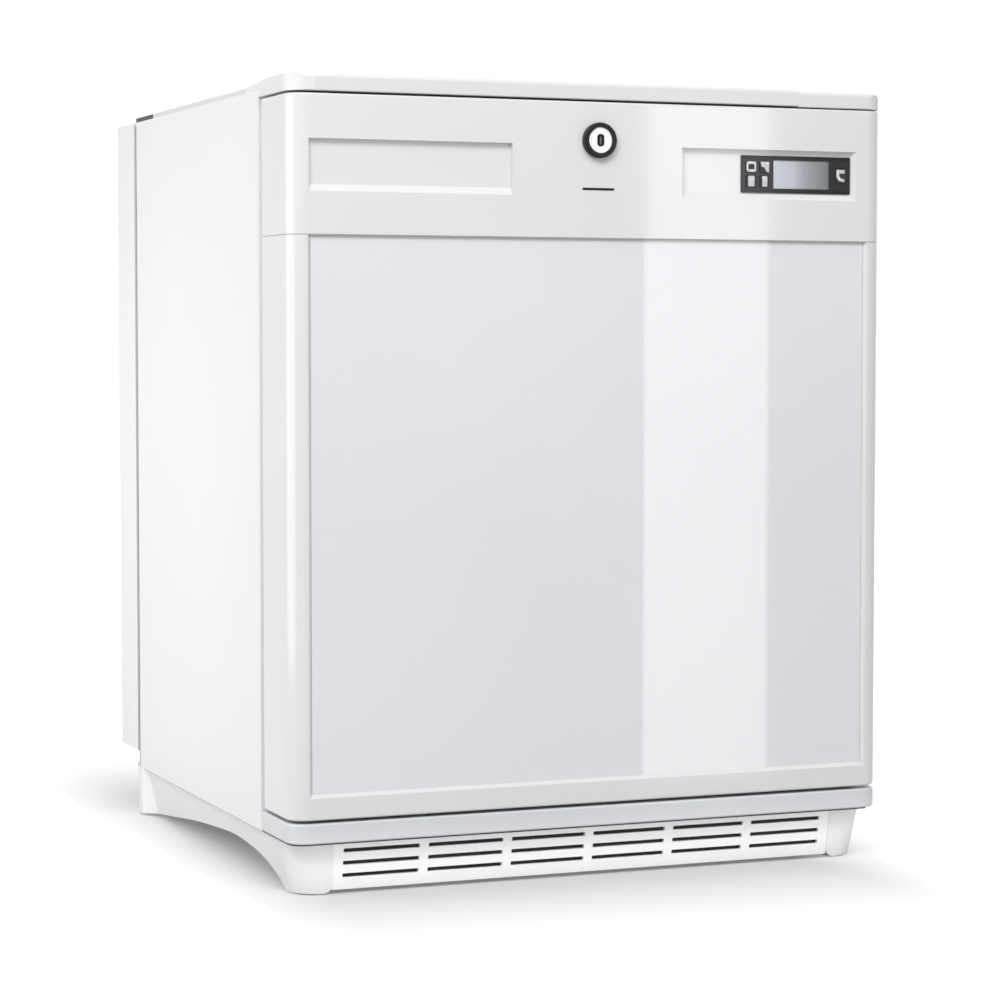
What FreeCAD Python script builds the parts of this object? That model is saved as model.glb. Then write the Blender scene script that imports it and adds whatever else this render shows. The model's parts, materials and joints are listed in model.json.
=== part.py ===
import FreeCAD, Part
import math
import os

os.makedirs("parts", exist_ok=True)
V = FreeCAD.Vector

# Overall sizes in mm. Depths are measured back from the door's front face.
WIDTH = 483.0
HEIGHT = 597.0
BODY_DEPTH = 494.0
LOCK_PROUD = 5.0
CORNER_R = 14.0
EDGE_R = 1.6
SHEET = 1.2
WALL = 2.5
TOUCH = 0.3

# Heights of the stacked parts
PLINTH_H = 41.0
LOW_TRIM_H = 15.0
DOOR_GAP = 2.3
TOP_TRIM_H = 12.0
TOP_GAP = 1.7
TRIM_EDGE_R = 0.8
TRIM_END_R = 6.0
LID_STEP = 3.5
LID_T = 3.5
FASCIA_H = 100.7
SPLIT_GAP = 0.7

# Depths of the stacked parts
DOOR_T = 70.0
SEAL_GAP = 3.0
COVER_REACH = 71.0
CHIMNEY_LAP = 26.0
COVER_GAP = 8.0
RAMP_FROM = 50.0
RAMP_TO = 105.0

# Insulation thicknesses round the cold compartment
SIDE_FOAM = 50.0
FLOOR_FOAM = 44.0
ROOF_FOAM = 40.0
BACK_FOAM = 51.0
LINER_R = 8.0

# Plinth
PLINTH_TOP_IN = 3.0
PLINTH_LOW_IN = 10.0
PLINTH_TOP_BACK = 13.0
PLINTH_LOW_BACK = 19.0
PLINTH_TAIL = 28.0
PLINTH_R = 20.0
PLINTH_REAR_R = 8.0
PLINTH_WALL = 3.0
FLARE_START = 51.0
FLARE_RUN = 18.0
FLARE_LEN = 12.0
FOOT_W = 27.0
FOOT_D = 26.0
TOE_R = 6.0
REAR_FOOT_D = 26.0
ARCH_H = 24.0
ARCH_POINTS = ((0.05, 0.44), (0.1, 0.68), (0.155, 0.84), (0.215, 0.94), (0.29, 1.0),
               (0.45, 0.88), (0.58, 0.72), (0.755, 0.42))
PAD_H = 4.0
PAD_PROUD = 1.0
PAD_R = 9.0
GRILLE_BACK = 1.0
GRILLE_LEAN = 6.0
GRILLE_LIFT = 3.0
GRILLE_T = 3.0
SLOT_COLUMNS = 6
SLOT_ROWS = 3
SLOT_EDGE = 8.0
SLOT_BAR = 7.0
SLOT_H = 3.0
SLOT_ROW_PITCH = 9.5
SLOT_LOW = 13.6
AIR_SLOT_D = 24.0

# Trims and hinge
CAP_W = 20.0
HINGE_COVER_W = 74.0
HINGE_COVER_DROP = 1.2
HINGE_COVER_LOW = 0.7
HINGE_COVER_R = 9.0
COVER_WALL = 1.8
HINGE_INSET = 14.0
PIN_R = 4.0
PIN_FIT = 0.05
PIN_REACH = 16.0
BUSH_R = 7.0
BOSS_R = 7.5
PLATE_T = 3.0
PLATE_W = 56.0
SCREW_R = 2.0
SCREW_HEAD_R = 3.8
SCREW_HEAD_H = 1.6
SCREW_LEN = 9.0

# Door
DOOR_FRONT_T = 7.5
PANEL_SIDE = 14.1
PANEL_FOOT = 16.2
PANEL_GAP = 0.3
PANEL_BACK = 2.5
PANEL_T = 2.5
BEVEL_SIDE = 2.4
BEVEL_FOOT = 2.4
REAR_R = 6.0
LINER_PLATE_T = 4.0
GASKET_W = 18.0
GASKET_IN = 6.0
DART_W = 4.0
DART_D = 2.5
RACK_SIDE = 22.0
RACK_D = 74.0
RACK_H = 58.0
RACK_WALL = 2.5
RACK_LOW_UP = 50.0
RACK_HIGH_UP = 250.0
RAIL_W = 12.0
RAIL_D = 24.0

# Fascia recesses, lock and controller
RECESS_IN = 69.0
RECESS_LEFT_SIDE = 15.0
RECESS_RIGHT_SIDE = 24.0
RECESS_D = 4.0
RECESS_FOOT = 30.7
RECESS_H = 37.8
RECESS_BEVEL = 5.2
RECESS_SLOPE_LEFT = 1.5
RECESS_SLOPE_RIGHT = 4.0
LOCK_UP = 72.0
LOCK_RIM_R = 13.2
LOCK_BODY_R = 11.8
LOCK_BORE_R = 9.6
LOCK_FIT = 0.06
LOCK_LEN = 22.0
KEYHOLE_R = 2.4
KEYHOLE_W = 2.6
KEYHOLE_H = 8.4
CAM_T = 3.0
CAM_W = 10.0
CAM_REACH = 36.0
STRIKE_L = 60.0
STRIKE_SWING = 24.0
TOP_SWING = 29.0
CAM_ROOM = 11.0
CAM_TIP_ROOM = 1.8
STRIKE_W = 22.0
BADGE_L = 26.0
BADGE_H = 2.0
BADGE_UP = 36.0
CTRL_SIDE = 51.0
CTRL_UP = 50.2
CTRL_W = 93.4
CTRL_H = 28.2
CTRL_R = 0.6
CTRL_PROUD = 1.2
CTRL_BODY_IN = 1.6
CTRL_D = 12.0
SCREEN_X = 4.6
SCREEN_W = 48.0
SCREEN_H = 21.5
BOARD_T = 1.6
KEY_PRESS = 0.8
KEY_OUT = 38.4
KEY_IN = 27.0
KEY_ROW = 5.45
KEY_W = 9.0
KEY_IN_W = 8.0
KEY_H = 8.4
KEY_TALL = 11.0
KEY_GAP = 0.3
KEY_LIP = 0.8
KEY_LIP_T = 1.2
KEY_RISE = 0.6

# Cold compartment fittings
SHELF_LOW_UP = 140.0
SHELF_DROP = 25.0
LEDGE_H = 4.0
LEDGE_W = 6.0
SHELF_ROOM = 12.0
SHELF_BACK = 28.0
SHELF_WIRE_R = 2.2
SHELF_BAR_R = 1.4
SHELF_BARS = 15
SHELF_R = 12.0
FIN_COUNT = 15
FIN_W = 230.0
FIN_H = 110.0
FIN_D = 38.0
FIN_T = 1.6
FIN_PLATE_T = 4.0
FIN_DROP = 32.0
TRAY_H = 16.0
TRAY_GAP = 14.0
DRAIN_R = 5.0
LAMP_W = 70.0
LAMP_D = 22.0
LAMP_H = 5.0
PROBE_R = 3.0
PROBE_LEN = 36.0

# Rear cover and cooling unit in the chimney
COVER_R = 10.0
COVER_FOOT = 54.0
FRAME_IN = 6.0
FRAME_T = 8.0
VENT_ROWS = 6
VENT_LOW_UP = 88.0
VENT_TOP_DROP = 48.0
VENT_SIDE = 83.0
VENT_H = 5.0
VENT_PITCH = 14.0
COVER_SCREWS = 3
COVER_SCREW_SIDE = 48.0
OUTLET_D = 55.0
OUTLET_SLOTS = 24
OUTLET_SLOT_W = 6.0
UNIT_OUT = 49.0
TUBE_R = 10.0
VESSEL_R = 28.0
VESSEL_Z = 112.0
VESSEL_LEFT = 110.0
VESSEL_RIGHT = 124.0
BOILER_SIDE = 62.0
JACKET_W = 76.0
JACKET_COAT = 13.0
JACKET_FOOT = 170.0
JACKET_DROP = 115.0
HEATER_R = 7.0
HEATER_OFFSET = 22.0
HEATER_LEN = 150.0
CONDENSER_DROP = 45.0
CONDENSER_LEFT = 90.0
CONDENSER_RIGHT = 120.0
CFIN_COUNT = 20
CFIN_SIZE = 54.0
CFIN_T = 1.0
COIL_Z = 175.0
COIL_PITCH = 40.0
COIL_RUNS = 5
COIL_LEFT = 90.0
COIL_RIGHT = 128.0
COIL_BEND = 16.0
BOILER_BEND = 30.0
MODULE_SIDE = 20.0
MODULE_W = 70.0
MODULE_FOOT = 76.0
MODULE_H = 74.0
MODULE_D = 50.0
INLET_W = 27.0
INLET_H = 20.0
INLET_SLOT_W = 24.0
INLET_SLOT_H = 16.5
INLET_DEPTH = 17.0
INLET_PLATE_W = 60.0
INLET_PLATE_UP = 18.0

# Derived planes
HALF = WIDTH / 2
FACE_Y = LOCK_PROUD - (BODY_DEPTH + LOCK_PROUD) / 2
LOW_TRIM_Z = PLINTH_H + LOW_TRIM_H
DOOR_Z0 = LOW_TRIM_Z + DOOR_GAP
TOP_TRIM_Z = HEIGHT - TOP_TRIM_H
DOOR_Z1 = TOP_TRIM_Z - TOP_GAP
SPLIT_Z = DOOR_Z1 - FASCIA_H
LID_Z = HEIGHT - LID_STEP
CAB_Z1 = LID_Z - LID_T
CAB_D0 = DOOR_T + SEAL_GAP
CAB_D1 = BODY_DEPTH - COVER_REACH
PLINTH_REAR = CAB_D1 + PLINTH_TAIL
BACK_D = CAB_D1 - CHIMNEY_LAP
COVER_D0 = CAB_D1 + COVER_GAP
OPEN_X = HALF - SIDE_FOAM
OPEN_Z0 = PLINTH_H + FLOOR_FOAM
OPEN_Z1 = CAB_Z1 - ROOF_FOAM
COLD_D1 = BACK_D - SHEET - BACK_FOAM + WALL
HINGE_X = HALF - HINGE_INSET
HINGE_D = DOOR_T / 2
CAP_X = CAP_W - HALF
COVER_X = HALF - HINGE_COVER_W
LOCK_Z = SPLIT_Z + LOCK_UP
CTRL_Z = SPLIT_Z + CTRL_UP
CAM_D = LOCK_LEN + TOUCH
RECESS_LEFT = HALF - RECESS_LEFT_SIDE
RECESS_RIGHT = HALF - RECESS_RIGHT_SIDE
CTRL_X = RECESS_RIGHT - CTRL_SIDE
GRILLE_HALF = HALF - PLINTH_LOW_IN - FOOT_W
SLOT_PITCH = (2 * (GRILLE_HALF - SLOT_EDGE) + SLOT_BAR) / SLOT_COLUMNS
SLOT_LEN = SLOT_PITCH - SLOT_BAR
RACK_HALF = OPEN_X - RACK_SIDE
SHELF_FRONT = DOOR_T + RACK_D + SHELF_ROOM
UNIT_D = BACK_D + UNIT_OUT
VENT_LEN = HALF - VENT_SIDE - VENT_PITCH / 2
BOILER_X = HALF - BOILER_SIDE
VESSEL_X = (VESSEL_LEFT - HALF, HALF - VESSEL_RIGHT)
CONDENSER_X = (CONDENSER_LEFT - HALF, HALF - CONDENSER_RIGHT)
CONDENSER_Z = CAB_Z1 - CONDENSER_DROP
JACKET_D = UNIT_OUT + TUBE_R + JACKET_COAT
JACKET_Z = (JACKET_FOOT, CONDENSER_Z - JACKET_DROP)
COIL_X = (COIL_LEFT - HALF, HALF - COIL_RIGHT)
MODULE_X = (MODULE_SIDE - HALF, MODULE_SIDE + MODULE_W - HALF)
MODULE_Z = (MODULE_FOOT, MODULE_FOOT + MODULE_H)
COIL_TOP_Z = COIL_Z + COIL_PITCH * (COIL_RUNS - 1)
FIN_Z1 = OPEN_Z1 - FIN_DROP
FIN_Z0 = FIN_Z1 - FIN_H
TRAY_Z = FIN_Z0 - TRAY_GAP - TRAY_H
SHELF_HIGH_UP = TRAY_Z - SHELF_DROP - OPEN_Z0
TINY = 1e-6


def at(x, d, z):
    return V(x, d + FACE_Y, z)


def box(x0, x1, d0, d1, z0, z1):
    return Part.makeBox(x1 - x0, d1 - d0, z1 - z0, at(x0, d0, z0))


def rod(radius, start, end):
    axis = end - start
    return Part.makeCylinder(radius, axis.Length, start, axis)


def corner_arc(before, corner, after, radius):
    arm_in = (before - corner).normalize()
    arm_out = (after - corner).normalize()
    half = arm_in.getAngle(arm_out) / 2
    reach = radius / math.tan(half)
    middle = (arm_in + arm_out).normalize()
    centre = corner + middle * (radius / math.sin(half))
    return corner + arm_in * reach, centre - middle * radius, corner + arm_out * reach


def loop(corners, radii):
    edges = []
    count = len(corners)
    marks = []
    for i in range(count):
        if radii[i] > 0:
            marks.append(corner_arc(corners[i - 1], corners[i], corners[(i + 1) % count], radii[i]))
        else:
            marks.append((corners[i],))
    for i in range(count):
        if len(marks[i]) > 1:
            edges.append(Part.Arc(*marks[i]).toShape())
        start = marks[i][-1]
        end = marks[(i + 1) % count][0]
        if (end - start).Length > TINY:
            edges.append(Part.makeLine(start, end))
    return Part.Wire(edges)


def prism(corners, radii, along):
    return Part.Face(loop(corners, radii)).extrude(along)


def plan_block(x0, x1, d0, d1, z0, z1, radii):
    corners = [at(x0, d0, z0), at(x1, d0, z0), at(x1, d1, z0), at(x0, d1, z0)]
    return prism(corners, radii, V(0, 0, z1 - z0))


def front_block(x0, x1, d0, d1, z0, z1, radius):
    corners = [at(x0, d0, z0), at(x1, d0, z0), at(x1, d0, z1), at(x0, d0, z1)]
    return prism(corners, [radius] * len(corners), V(0, d1 - d0, 0))


def side_block(x0, x1, profile, radii):
    return prism([at(x0, d, z) for d, z in profile], radii, V(x1 - x0, 0, 0))


def tube(points, radius, bend):
    edges = []
    start = points[0]
    for i in range(1, len(points) - 1):
        first, middle, last = corner_arc(points[i - 1], points[i], points[i + 1], bend)
        if (first - start).Length > TINY:
            edges.append(Part.makeLine(start, first))
        edges.append(Part.Arc(first, middle, last).toShape())
        start = last
    edges.append(Part.makeLine(start, points[-1]))
    path = Part.Wire(edges)
    profile = Part.Wire(Part.makeCircle(radius, points[0], points[1] - points[0]))
    return path.makePipeShell([profile], True, False)


def fuse(shapes):
    return shapes[0].multiFuse(shapes[1:]).removeSplitter()


def save(node, shape):
    if isinstance(shape, list):
        shape = Part.makeCompound(shape)
    shape.exportStep("parts/" + node + ".step")


def soften(body, z):
    rear = at(0, CAB_D0, 0).y
    edges = [edge for edge in body.Edges if edge.BoundBox.YMin < rear - EDGE_R
             and abs(edge.BoundBox.ZMin - z) < EDGE_R / 2 and abs(edge.BoundBox.ZMax - z) < EDGE_R / 2]
    return body.makeFillet(EDGE_R, edges)


def spread(count, span):
    return [span * (i / (count - 1) - 0.5) for i in range(count)]


# Plinth and its fittings

def plinth_solid(shrink, z0, z1):
    wires = []
    for z in (z0, z1):
        part = z / PLINTH_H
        side = HALF - PLINTH_LOW_IN + (PLINTH_LOW_IN - PLINTH_TOP_IN) * part - shrink
        front = PLINTH_LOW_BACK + (PLINTH_TOP_BACK - PLINTH_LOW_BACK) * part + shrink
        rear = PLINTH_REAR - shrink
        corners = [at(-side, front, z), at(side, front, z), at(side, rear, z), at(-side, rear, z)]
        front_r, rear_r = PLINTH_R - shrink, PLINTH_REAR_R - shrink
        wires.append(loop(corners, [front_r, front_r, rear_r, rear_r]))
    return Part.makeLoft(wires, True, True)


def foot_corners():
    side = HALF - PLINTH_LOW_IN
    spots = []
    for sign in (-1, 1):
        spots.append((sign, side, PLINTH_LOW_BACK, PLINTH_LOW_BACK + FOOT_D))
        spots.append((sign, side, PLINTH_REAR - REAR_FOOT_D, PLINTH_REAR))
    return spots


def arch_profile():
    front = PLINTH_LOW_BACK + FOOT_D
    rear = PLINTH_REAR - REAR_FOOT_D
    span = rear - front
    line = [at(-HALF, front, PAD_PROUD)]
    for along, up in ARCH_POINTS:
        line.append(at(-HALF, front + span * along, PAD_PROUD + (ARCH_H - PAD_PROUD) * up))
    line.append(at(-HALF, rear, PAD_PROUD))
    curve = Part.BSplineCurve()
    curve.interpolate(line)
    front_foot, rear_foot = at(-HALF, front, -ARCH_H), at(-HALF, rear, -ARCH_H)
    edges = [Part.makeLine(front_foot, line[0]), curve.toShape()]
    edges.append(Part.makeLine(line[-1], rear_foot))
    edges.append(Part.makeLine(rear_foot, front_foot))
    return Part.Face(Part.Wire(edges)).extrude(V(WIDTH, 0, 0))


def rear_flare(sign):
    inner = HALF - PLINTH_LOW_IN
    start = PLINTH_REAR - FLARE_START
    wide = start + FLARE_RUN
    end = wide + FLARE_LEN
    corners = [at(sign * inner, start, PAD_PROUD), at(sign * HALF, wide, PAD_PROUD),
               at(sign * HALF, end, PAD_PROUD), at(sign * inner, end, PAD_PROUD)]
    return prism(corners, [0, PLINTH_REAR_R, PLINTH_WALL, 0], V(0, 0, PLINTH_H - PAD_PROUD))


def toe_corner(sign):
    inner, middle = sign * GRILLE_HALF, sign * (GRILLE_HALF + TOE_R)
    rear, high = PLINTH_LOW_BACK + FOOT_D, PAD_PROUD + TOE_R
    square = box(min(inner, middle), max(inner, middle), 0, rear, PAD_PROUD, high)
    return square.cut(rod(TOE_R, at(middle, 0, high), at(middle, rear, high)))


def plinth():
    body = plinth_solid(0, PAD_PROUD, PLINTH_H)
    body = body.fuse([rear_flare(-1), rear_flare(1)]).removeSplitter()
    hollow = plinth_solid(PLINTH_WALL, 0, PLINTH_H - PLINTH_WALL)
    for sign, side, front, rear in foot_corners():
        inner = side - FOOT_W
        foot = box(min(sign * inner, sign * HALF), max(sign * inner, sign * HALF), front - FOOT_W, rear,
                   0, PLINTH_H)
        hollow = hollow.cut(foot)
    body = body.cut(hollow)
    body = body.cut(arch_profile())
    gap = GRILLE_HALF
    body = body.cut(box(-gap, gap, 0, PLINTH_LOW_BACK + FOOT_W, 0, PLINTH_H - PLINTH_WALL))
    body = body.cut([toe_corner(-1), toe_corner(1)])
    body = body.cut(box(-gap, gap, PLINTH_REAR - FOOT_W, BODY_DEPTH, 0, PLINTH_H - PLINTH_WALL))
    body = body.cut(box(-gap, gap, BACK_D + WALL, BACK_D + WALL + AIR_SLOT_D, 0, PLINTH_H))
    body = body.cut(hinge_screws())
    return body.cut(foot_pads())


def pad_spots():
    spots = []
    for sign, side, front, rear in foot_corners():
        spots.append((sign * (side - FOOT_W / 2), (front + rear) / 2))
    return spots


def foot_pads():
    return [rod(PAD_R, at(x, d, 0), at(x, d, PAD_H)) for x, d in pad_spots()]


def plinth_grille():
    gap = GRILLE_HALF
    top = PLINTH_H - PLINTH_WALL
    front = PLINTH_TOP_BACK + GRILLE_BACK
    profile = [(front, top), (front + GRILLE_LEAN, GRILLE_LIFT),
               (front + GRILLE_LEAN + GRILLE_T, GRILLE_LIFT),
               (front + GRILLE_T, top)]
    body = side_block(-gap, gap, profile, [0] * len(profile))
    first = -SLOT_PITCH * (SLOT_COLUMNS - 1) / 2
    for column in range(SLOT_COLUMNS):
        x = first + SLOT_PITCH * column
        for row in range(SLOT_ROWS):
            z = SLOT_LOW + SLOT_ROW_PITCH * row
            body = body.cut(front_block(x - SLOT_LEN / 2, x + SLOT_LEN / 2, 0, BACK_D,
                                        z - SLOT_H / 2, z + SLOT_H / 2, SLOT_H / 4))
    return body


def bottom_trim():
    radii = [CORNER_R, CORNER_R, 0, 0]
    body = soften(plan_block(-HALF, HALF, 0, CAB_D0, PLINTH_H, LOW_TRIM_Z, radii), LOW_TRIM_Z)
    body = soften(body, PLINTH_H)
    outline = [at(-HALF, 0, PLINTH_H), at(HALF, 0, PLINTH_H), at(HALF, 0, LOW_TRIM_Z),
               at(-HALF, 0, LOW_TRIM_Z)]
    body = body.common(prism(outline, [0, TRIM_END_R, 0, 0], V(0, CAB_D0, 0)))
    side = HALF - PLINTH_TOP_IN - EDGE_R
    body = body.cut(box(-side, side, PLINTH_TOP_BACK + PLINTH_WALL, CAB_D0 - PLINTH_WALL, PLINTH_H,
                        LOW_TRIM_Z - PLINTH_WALL))
    boss_top = DOOR_Z0 - TOUCH
    body = body.fuse(rod(BOSS_R, at(HINGE_X, HINGE_D, LOW_TRIM_Z - PLINTH_WALL),
                         at(HINGE_X, HINGE_D, boss_top)))
    return body.cut(rod(PIN_R + PIN_FIT, at(HINGE_X, HINGE_D, PLINTH_H), at(HINGE_X, HINGE_D, boss_top)))


# Cabinet shell

def side_panel(sign):
    outer, inner = sign * HALF, sign * (HALF - SHEET)
    lip = sign * (HALF - FRAME_IN + SHEET)
    sheet = box(min(outer, inner), max(outer, inner), CAB_D0 + SHEET, CAB_D1, PLINTH_H, CAB_Z1)
    fold = box(min(outer, lip), max(outer, lip), CAB_D1 - SHEET, CAB_D1, PLINTH_H, CAB_Z1)
    return sheet.fuse(fold).removeSplitter()


def front_frame():
    body = box(-HALF, HALF, CAB_D0, CAB_D0 + SHEET, PLINTH_H, CAB_Z1)
    return body.cut(front_block(-OPEN_X, OPEN_X, CAB_D0, CAB_D0 + SHEET, OPEN_Z0, OPEN_Z1, LINER_R))


def bottom_pan():
    return box(SHEET - HALF, HALF - SHEET, CAB_D0 + SHEET, BACK_D - SHEET, PLINTH_H, PLINTH_H + SHEET)


def drain_path(radius):
    z = TRAY_Z + TRAY_H / 2
    return rod(radius, at(0, COLD_D1 - WALL, z), at(0, BACK_D + FRAME_T, z))


def pipe_holes(radius):
    holes = [drain_path(DRAIN_R + TOUCH)]
    for x, z in (evaporator_entry(), coil_exit()):
        holes.append(rod(radius, at(x, COLD_D1 - WALL, z), at(x, UNIT_D, z)))
    return holes


def rear_wall():
    body = box(SHEET - HALF, HALF - SHEET, BACK_D - SHEET, BACK_D, PLINTH_H, CAB_Z1)
    return body.cut(pipe_holes(TUBE_R + TOUCH))


def liner():
    outer = front_block(-OPEN_X - WALL, OPEN_X + WALL, CAB_D0 + SHEET, COLD_D1, OPEN_Z0 - WALL,
                        OPEN_Z1 + WALL, LINER_R + WALL)
    body = outer.cut(front_block(-OPEN_X, OPEN_X, CAB_D0, COLD_D1 - WALL, OPEN_Z0, OPEN_Z1, LINER_R))
    ledges = []
    for level in (SHELF_LOW_UP, SHELF_HIGH_UP):
        z = OPEN_Z0 + level
        for sign in (-1, 1):
            x0, x1 = sorted((sign * OPEN_X, sign * (OPEN_X - LEDGE_W)))
            ledges.append(box(x0, x1, SHELF_FRONT, COLD_D1 - WALL, z - LEDGE_H, z))
    body = body.fuse(ledges)
    return body.cut(pipe_holes(TUBE_R + TOUCH))


def insulation():
    body = box(SHEET - HALF, HALF - SHEET, CAB_D0 + SHEET, BACK_D - SHEET, PLINTH_H + SHEET, CAB_Z1)
    body = body.cut(front_block(-OPEN_X - WALL, OPEN_X + WALL, CAB_D0 + SHEET, COLD_D1, OPEN_Z0 - WALL,
                                OPEN_Z1 + WALL, LINER_R + WALL))
    body = body.cut(hinge_screws())
    return body.cut(pipe_holes(TUBE_R + TOUCH))


def top_lid():
    return box(-HALF, HALF, RAMP_TO, CAB_D1 - OUTLET_D, CAB_Z1, LID_Z)


def trim_section(x0, x1, low, top):
    profile = [(0, low), (CAB_D0, low), (CAB_D0, CAB_Z1), (RAMP_TO, CAB_Z1), (RAMP_TO, LID_Z),
               (RAMP_FROM, top), (0, top)]
    body = side_block(x0, x1, profile, [TRIM_EDGE_R, 0, 0, 0, 0, 0, WALL])
    return body.common(plan_block(-HALF, HALF, 0, RAMP_TO, low, HEIGHT, [CORNER_R, CORNER_R, 0, 0]))


def strike_space():
    return box(-STRIKE_L / 2, STRIKE_L / 2, CAM_D + CAM_T / 2 - STRIKE_W / 2,
               CAM_D + CAM_T / 2 + STRIKE_W / 2, TOP_TRIM_Z, TOP_TRIM_Z + SHEET)


def strike_slot(top):
    return box(-STRIKE_SWING, CAM_W, CAM_D - CAM_T, CAM_D + 2 * CAM_T, TOP_TRIM_Z, top)


def top_trim():
    body = trim_section(CAP_X, COVER_X, TOP_TRIM_Z, HEIGHT)
    body = body.cut(strike_space())
    return body.cut(strike_slot(LOCK_Z + CAM_REACH + CAM_TIP_ROOM))


def strike_plate():
    return strike_space().cut(strike_slot(TOP_TRIM_Z + SHEET))


def corner_cap():
    return trim_section(-HALF, CAP_X, TOP_TRIM_Z, HEIGHT)


def hinge_cover():
    low, top = TOP_TRIM_Z - HINGE_COVER_LOW, HEIGHT - HINGE_COVER_DROP
    corners = [at(COVER_X, 0, low), at(HALF, 0, low), at(HALF, 0, top), at(COVER_X, 0, top)]
    body = trim_section(COVER_X, HALF, low, top).common(prism(corners, [0, 0, HINGE_COVER_R, 0],
                                                              V(0, RAMP_TO, 0)))
    inner = box(COVER_X + COVER_WALL, HALF - COVER_WALL, HINGE_D - 2 * BOSS_R, RAMP_TO - COVER_WALL,
                CAB_Z1, LID_Z - TOUCH)
    body = body.cut(inner)
    return body.cut(rod(PIN_R + PIN_FIT, at(HINGE_X, HINGE_D, low), at(HINGE_X, HINGE_D, CAB_Z1)))


def plate_screws(z, d0):
    spots = []
    for step in (1, 2, 3):
        spots.append(at(HINGE_X + BOSS_R - PLATE_W * step / 4, d0, z))
    return spots


def hinge_plate_top():
    body = box(HINGE_X + BOSS_R - PLATE_W, HINGE_X + BOSS_R, HINGE_D - 2 * BOSS_R, RAMP_TO - COVER_WALL,
               CAB_Z1, CAB_Z1 + PLATE_T)
    body = body.fuse(rod(PIN_R, at(HINGE_X, HINGE_D, DOOR_Z1 - PIN_REACH), at(HINGE_X, HINGE_D, CAB_Z1)))
    return body.cut(hinge_screws())


def top_screw_d():
    return (CAB_D0 + RAMP_TO) / 2


def low_screw_d():
    return HINGE_D + 3 * BOSS_R


def hinge_plate_bottom():
    body = box(HINGE_X + BOSS_R - PLATE_W, HINGE_X + BOSS_R, HINGE_D - BOSS_R, CAB_D0 - 2 * PLINTH_WALL,
               PLINTH_H, PLINTH_H + PLATE_T)
    pin = rod(PIN_R, at(HINGE_X, HINGE_D, PLINTH_H + PLATE_T), at(HINGE_X, HINGE_D, DOOR_Z0 + PIN_REACH))
    return body.fuse(pin).cut(hinge_screws())


def screw(top, down):
    head = rod(SCREW_HEAD_R, top, top + down * SCREW_HEAD_H)
    shank = rod(SCREW_R, top, top + down * SCREW_LEN)
    return head.fuse(shank).removeSplitter()


def hinge_screws():
    down = V(0, 0, -1)
    low = [screw(spot + V(0, 0, PLATE_T), down) for spot in plate_screws(PLINTH_H, low_screw_d())]
    high = [screw(spot + V(0, 0, PLATE_T), down) for spot in plate_screws(CAB_Z1, top_screw_d())]
    return low + high


# Cold compartment fittings

def shelf(level):
    z = OPEN_Z0 + level + SHELF_WIRE_R
    side = OPEN_X - LEDGE_W / 2
    front, rear = SHELF_FRONT + SHELF_WIRE_R, COLD_D1 - WALL - SHELF_BACK
    corners = [at(-side, front, z), at(side, front, z), at(side, rear, z), at(-side, rear, z)]
    path = loop(corners, [SHELF_R] * len(corners))
    start = path.Edges[0].Vertexes[0].Point
    tangent = path.Edges[0].tangentAt(path.Edges[0].FirstParameter)
    profile = Part.Wire(Part.makeCircle(SHELF_WIRE_R, start, tangent))
    pieces = [path.makePipeShell([profile], True, False)]
    for x in spread(SHELF_BARS, 2 * (side - SHELF_R)):
        pieces.append(rod(SHELF_BAR_R, at(x, front, z), at(x, rear, z)))
    return fuse(pieces)


def evaporator():
    back = COLD_D1 - WALL
    body = box(-FIN_W / 2, FIN_W / 2, back - FIN_PLATE_T, back, FIN_Z0, FIN_Z1)
    fins = []
    for x in spread(FIN_COUNT, FIN_W - FIN_T):
        fins.append(box(x - FIN_T / 2, x + FIN_T / 2, back - FIN_D, back - FIN_PLATE_T, FIN_Z0, FIN_Z1))
    return body.fuse(fins).removeSplitter()


def drip_tray():
    back = COLD_D1 - WALL
    half = FIN_W / 2 + TRAY_GAP
    body = box(-half, half, back - FIN_D - TRAY_GAP, back, TRAY_Z, TRAY_Z + TRAY_H)
    body = body.cut(box(RACK_WALL - half, half - RACK_WALL, back - FIN_D - TRAY_GAP + RACK_WALL,
                        back - RACK_WALL, TRAY_Z + RACK_WALL, TRAY_Z + TRAY_H))
    notch = DRAIN_R - WALL / 2
    return body.cut(box(-notch, notch, back - RACK_WALL, back, TRAY_Z + RACK_WALL, TRAY_Z + TRAY_H))


def drain_tube():
    z = TRAY_Z + TRAY_H / 2
    return drain_path(DRAIN_R).cut(rod(DRAIN_R - WALL / 2, at(0, COLD_D1 - WALL, z),
                                       at(0, BACK_D + FRAME_T, z)))


def interior_lamp():
    d = SHELF_FRONT
    body = plan_block(-LAMP_W / 2, LAMP_W / 2, d, d + LAMP_D, OPEN_Z1 - LAMP_H, OPEN_Z1, [LAMP_H] * 4)
    return body


def sensor_probe():
    x = OPEN_X - PROBE_R - WALL
    z = FIN_Z0
    d = COLD_D1 - WALL - FIN_D - PROBE_LEN
    bulb = rod(PROBE_R, at(x, d, z), at(x, d + PROBE_LEN, z))
    clip = box(x - PROBE_R - WALL, OPEN_X, d + PROBE_LEN / 2 - WALL, d + PROBE_LEN / 2 + WALL,
               z - PROBE_R - WALL, z + PROBE_R + WALL)
    return bulb.fuse(clip).removeSplitter()


# Rear cover and cooling unit

def cover_solid(shrink, d0):
    z0, z1 = COVER_FOOT + shrink, CAB_Z1 - shrink
    rear = BODY_DEPTH - shrink
    radius = COVER_R - shrink
    body = plan_block(shrink - HALF, HALF - shrink, d0, rear, z0, z1, [0, 0, radius, radius])
    profile = [(d0, z0), (rear, z0), (rear, z1), (d0, z1)]
    return body.common(side_block(-HALF, HALF, profile, [0, radius, radius, 0]))


def cover_shell():
    return cover_solid(0, COVER_D0).cut(cover_solid(WALL, COVER_D0 - WALL))


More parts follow.
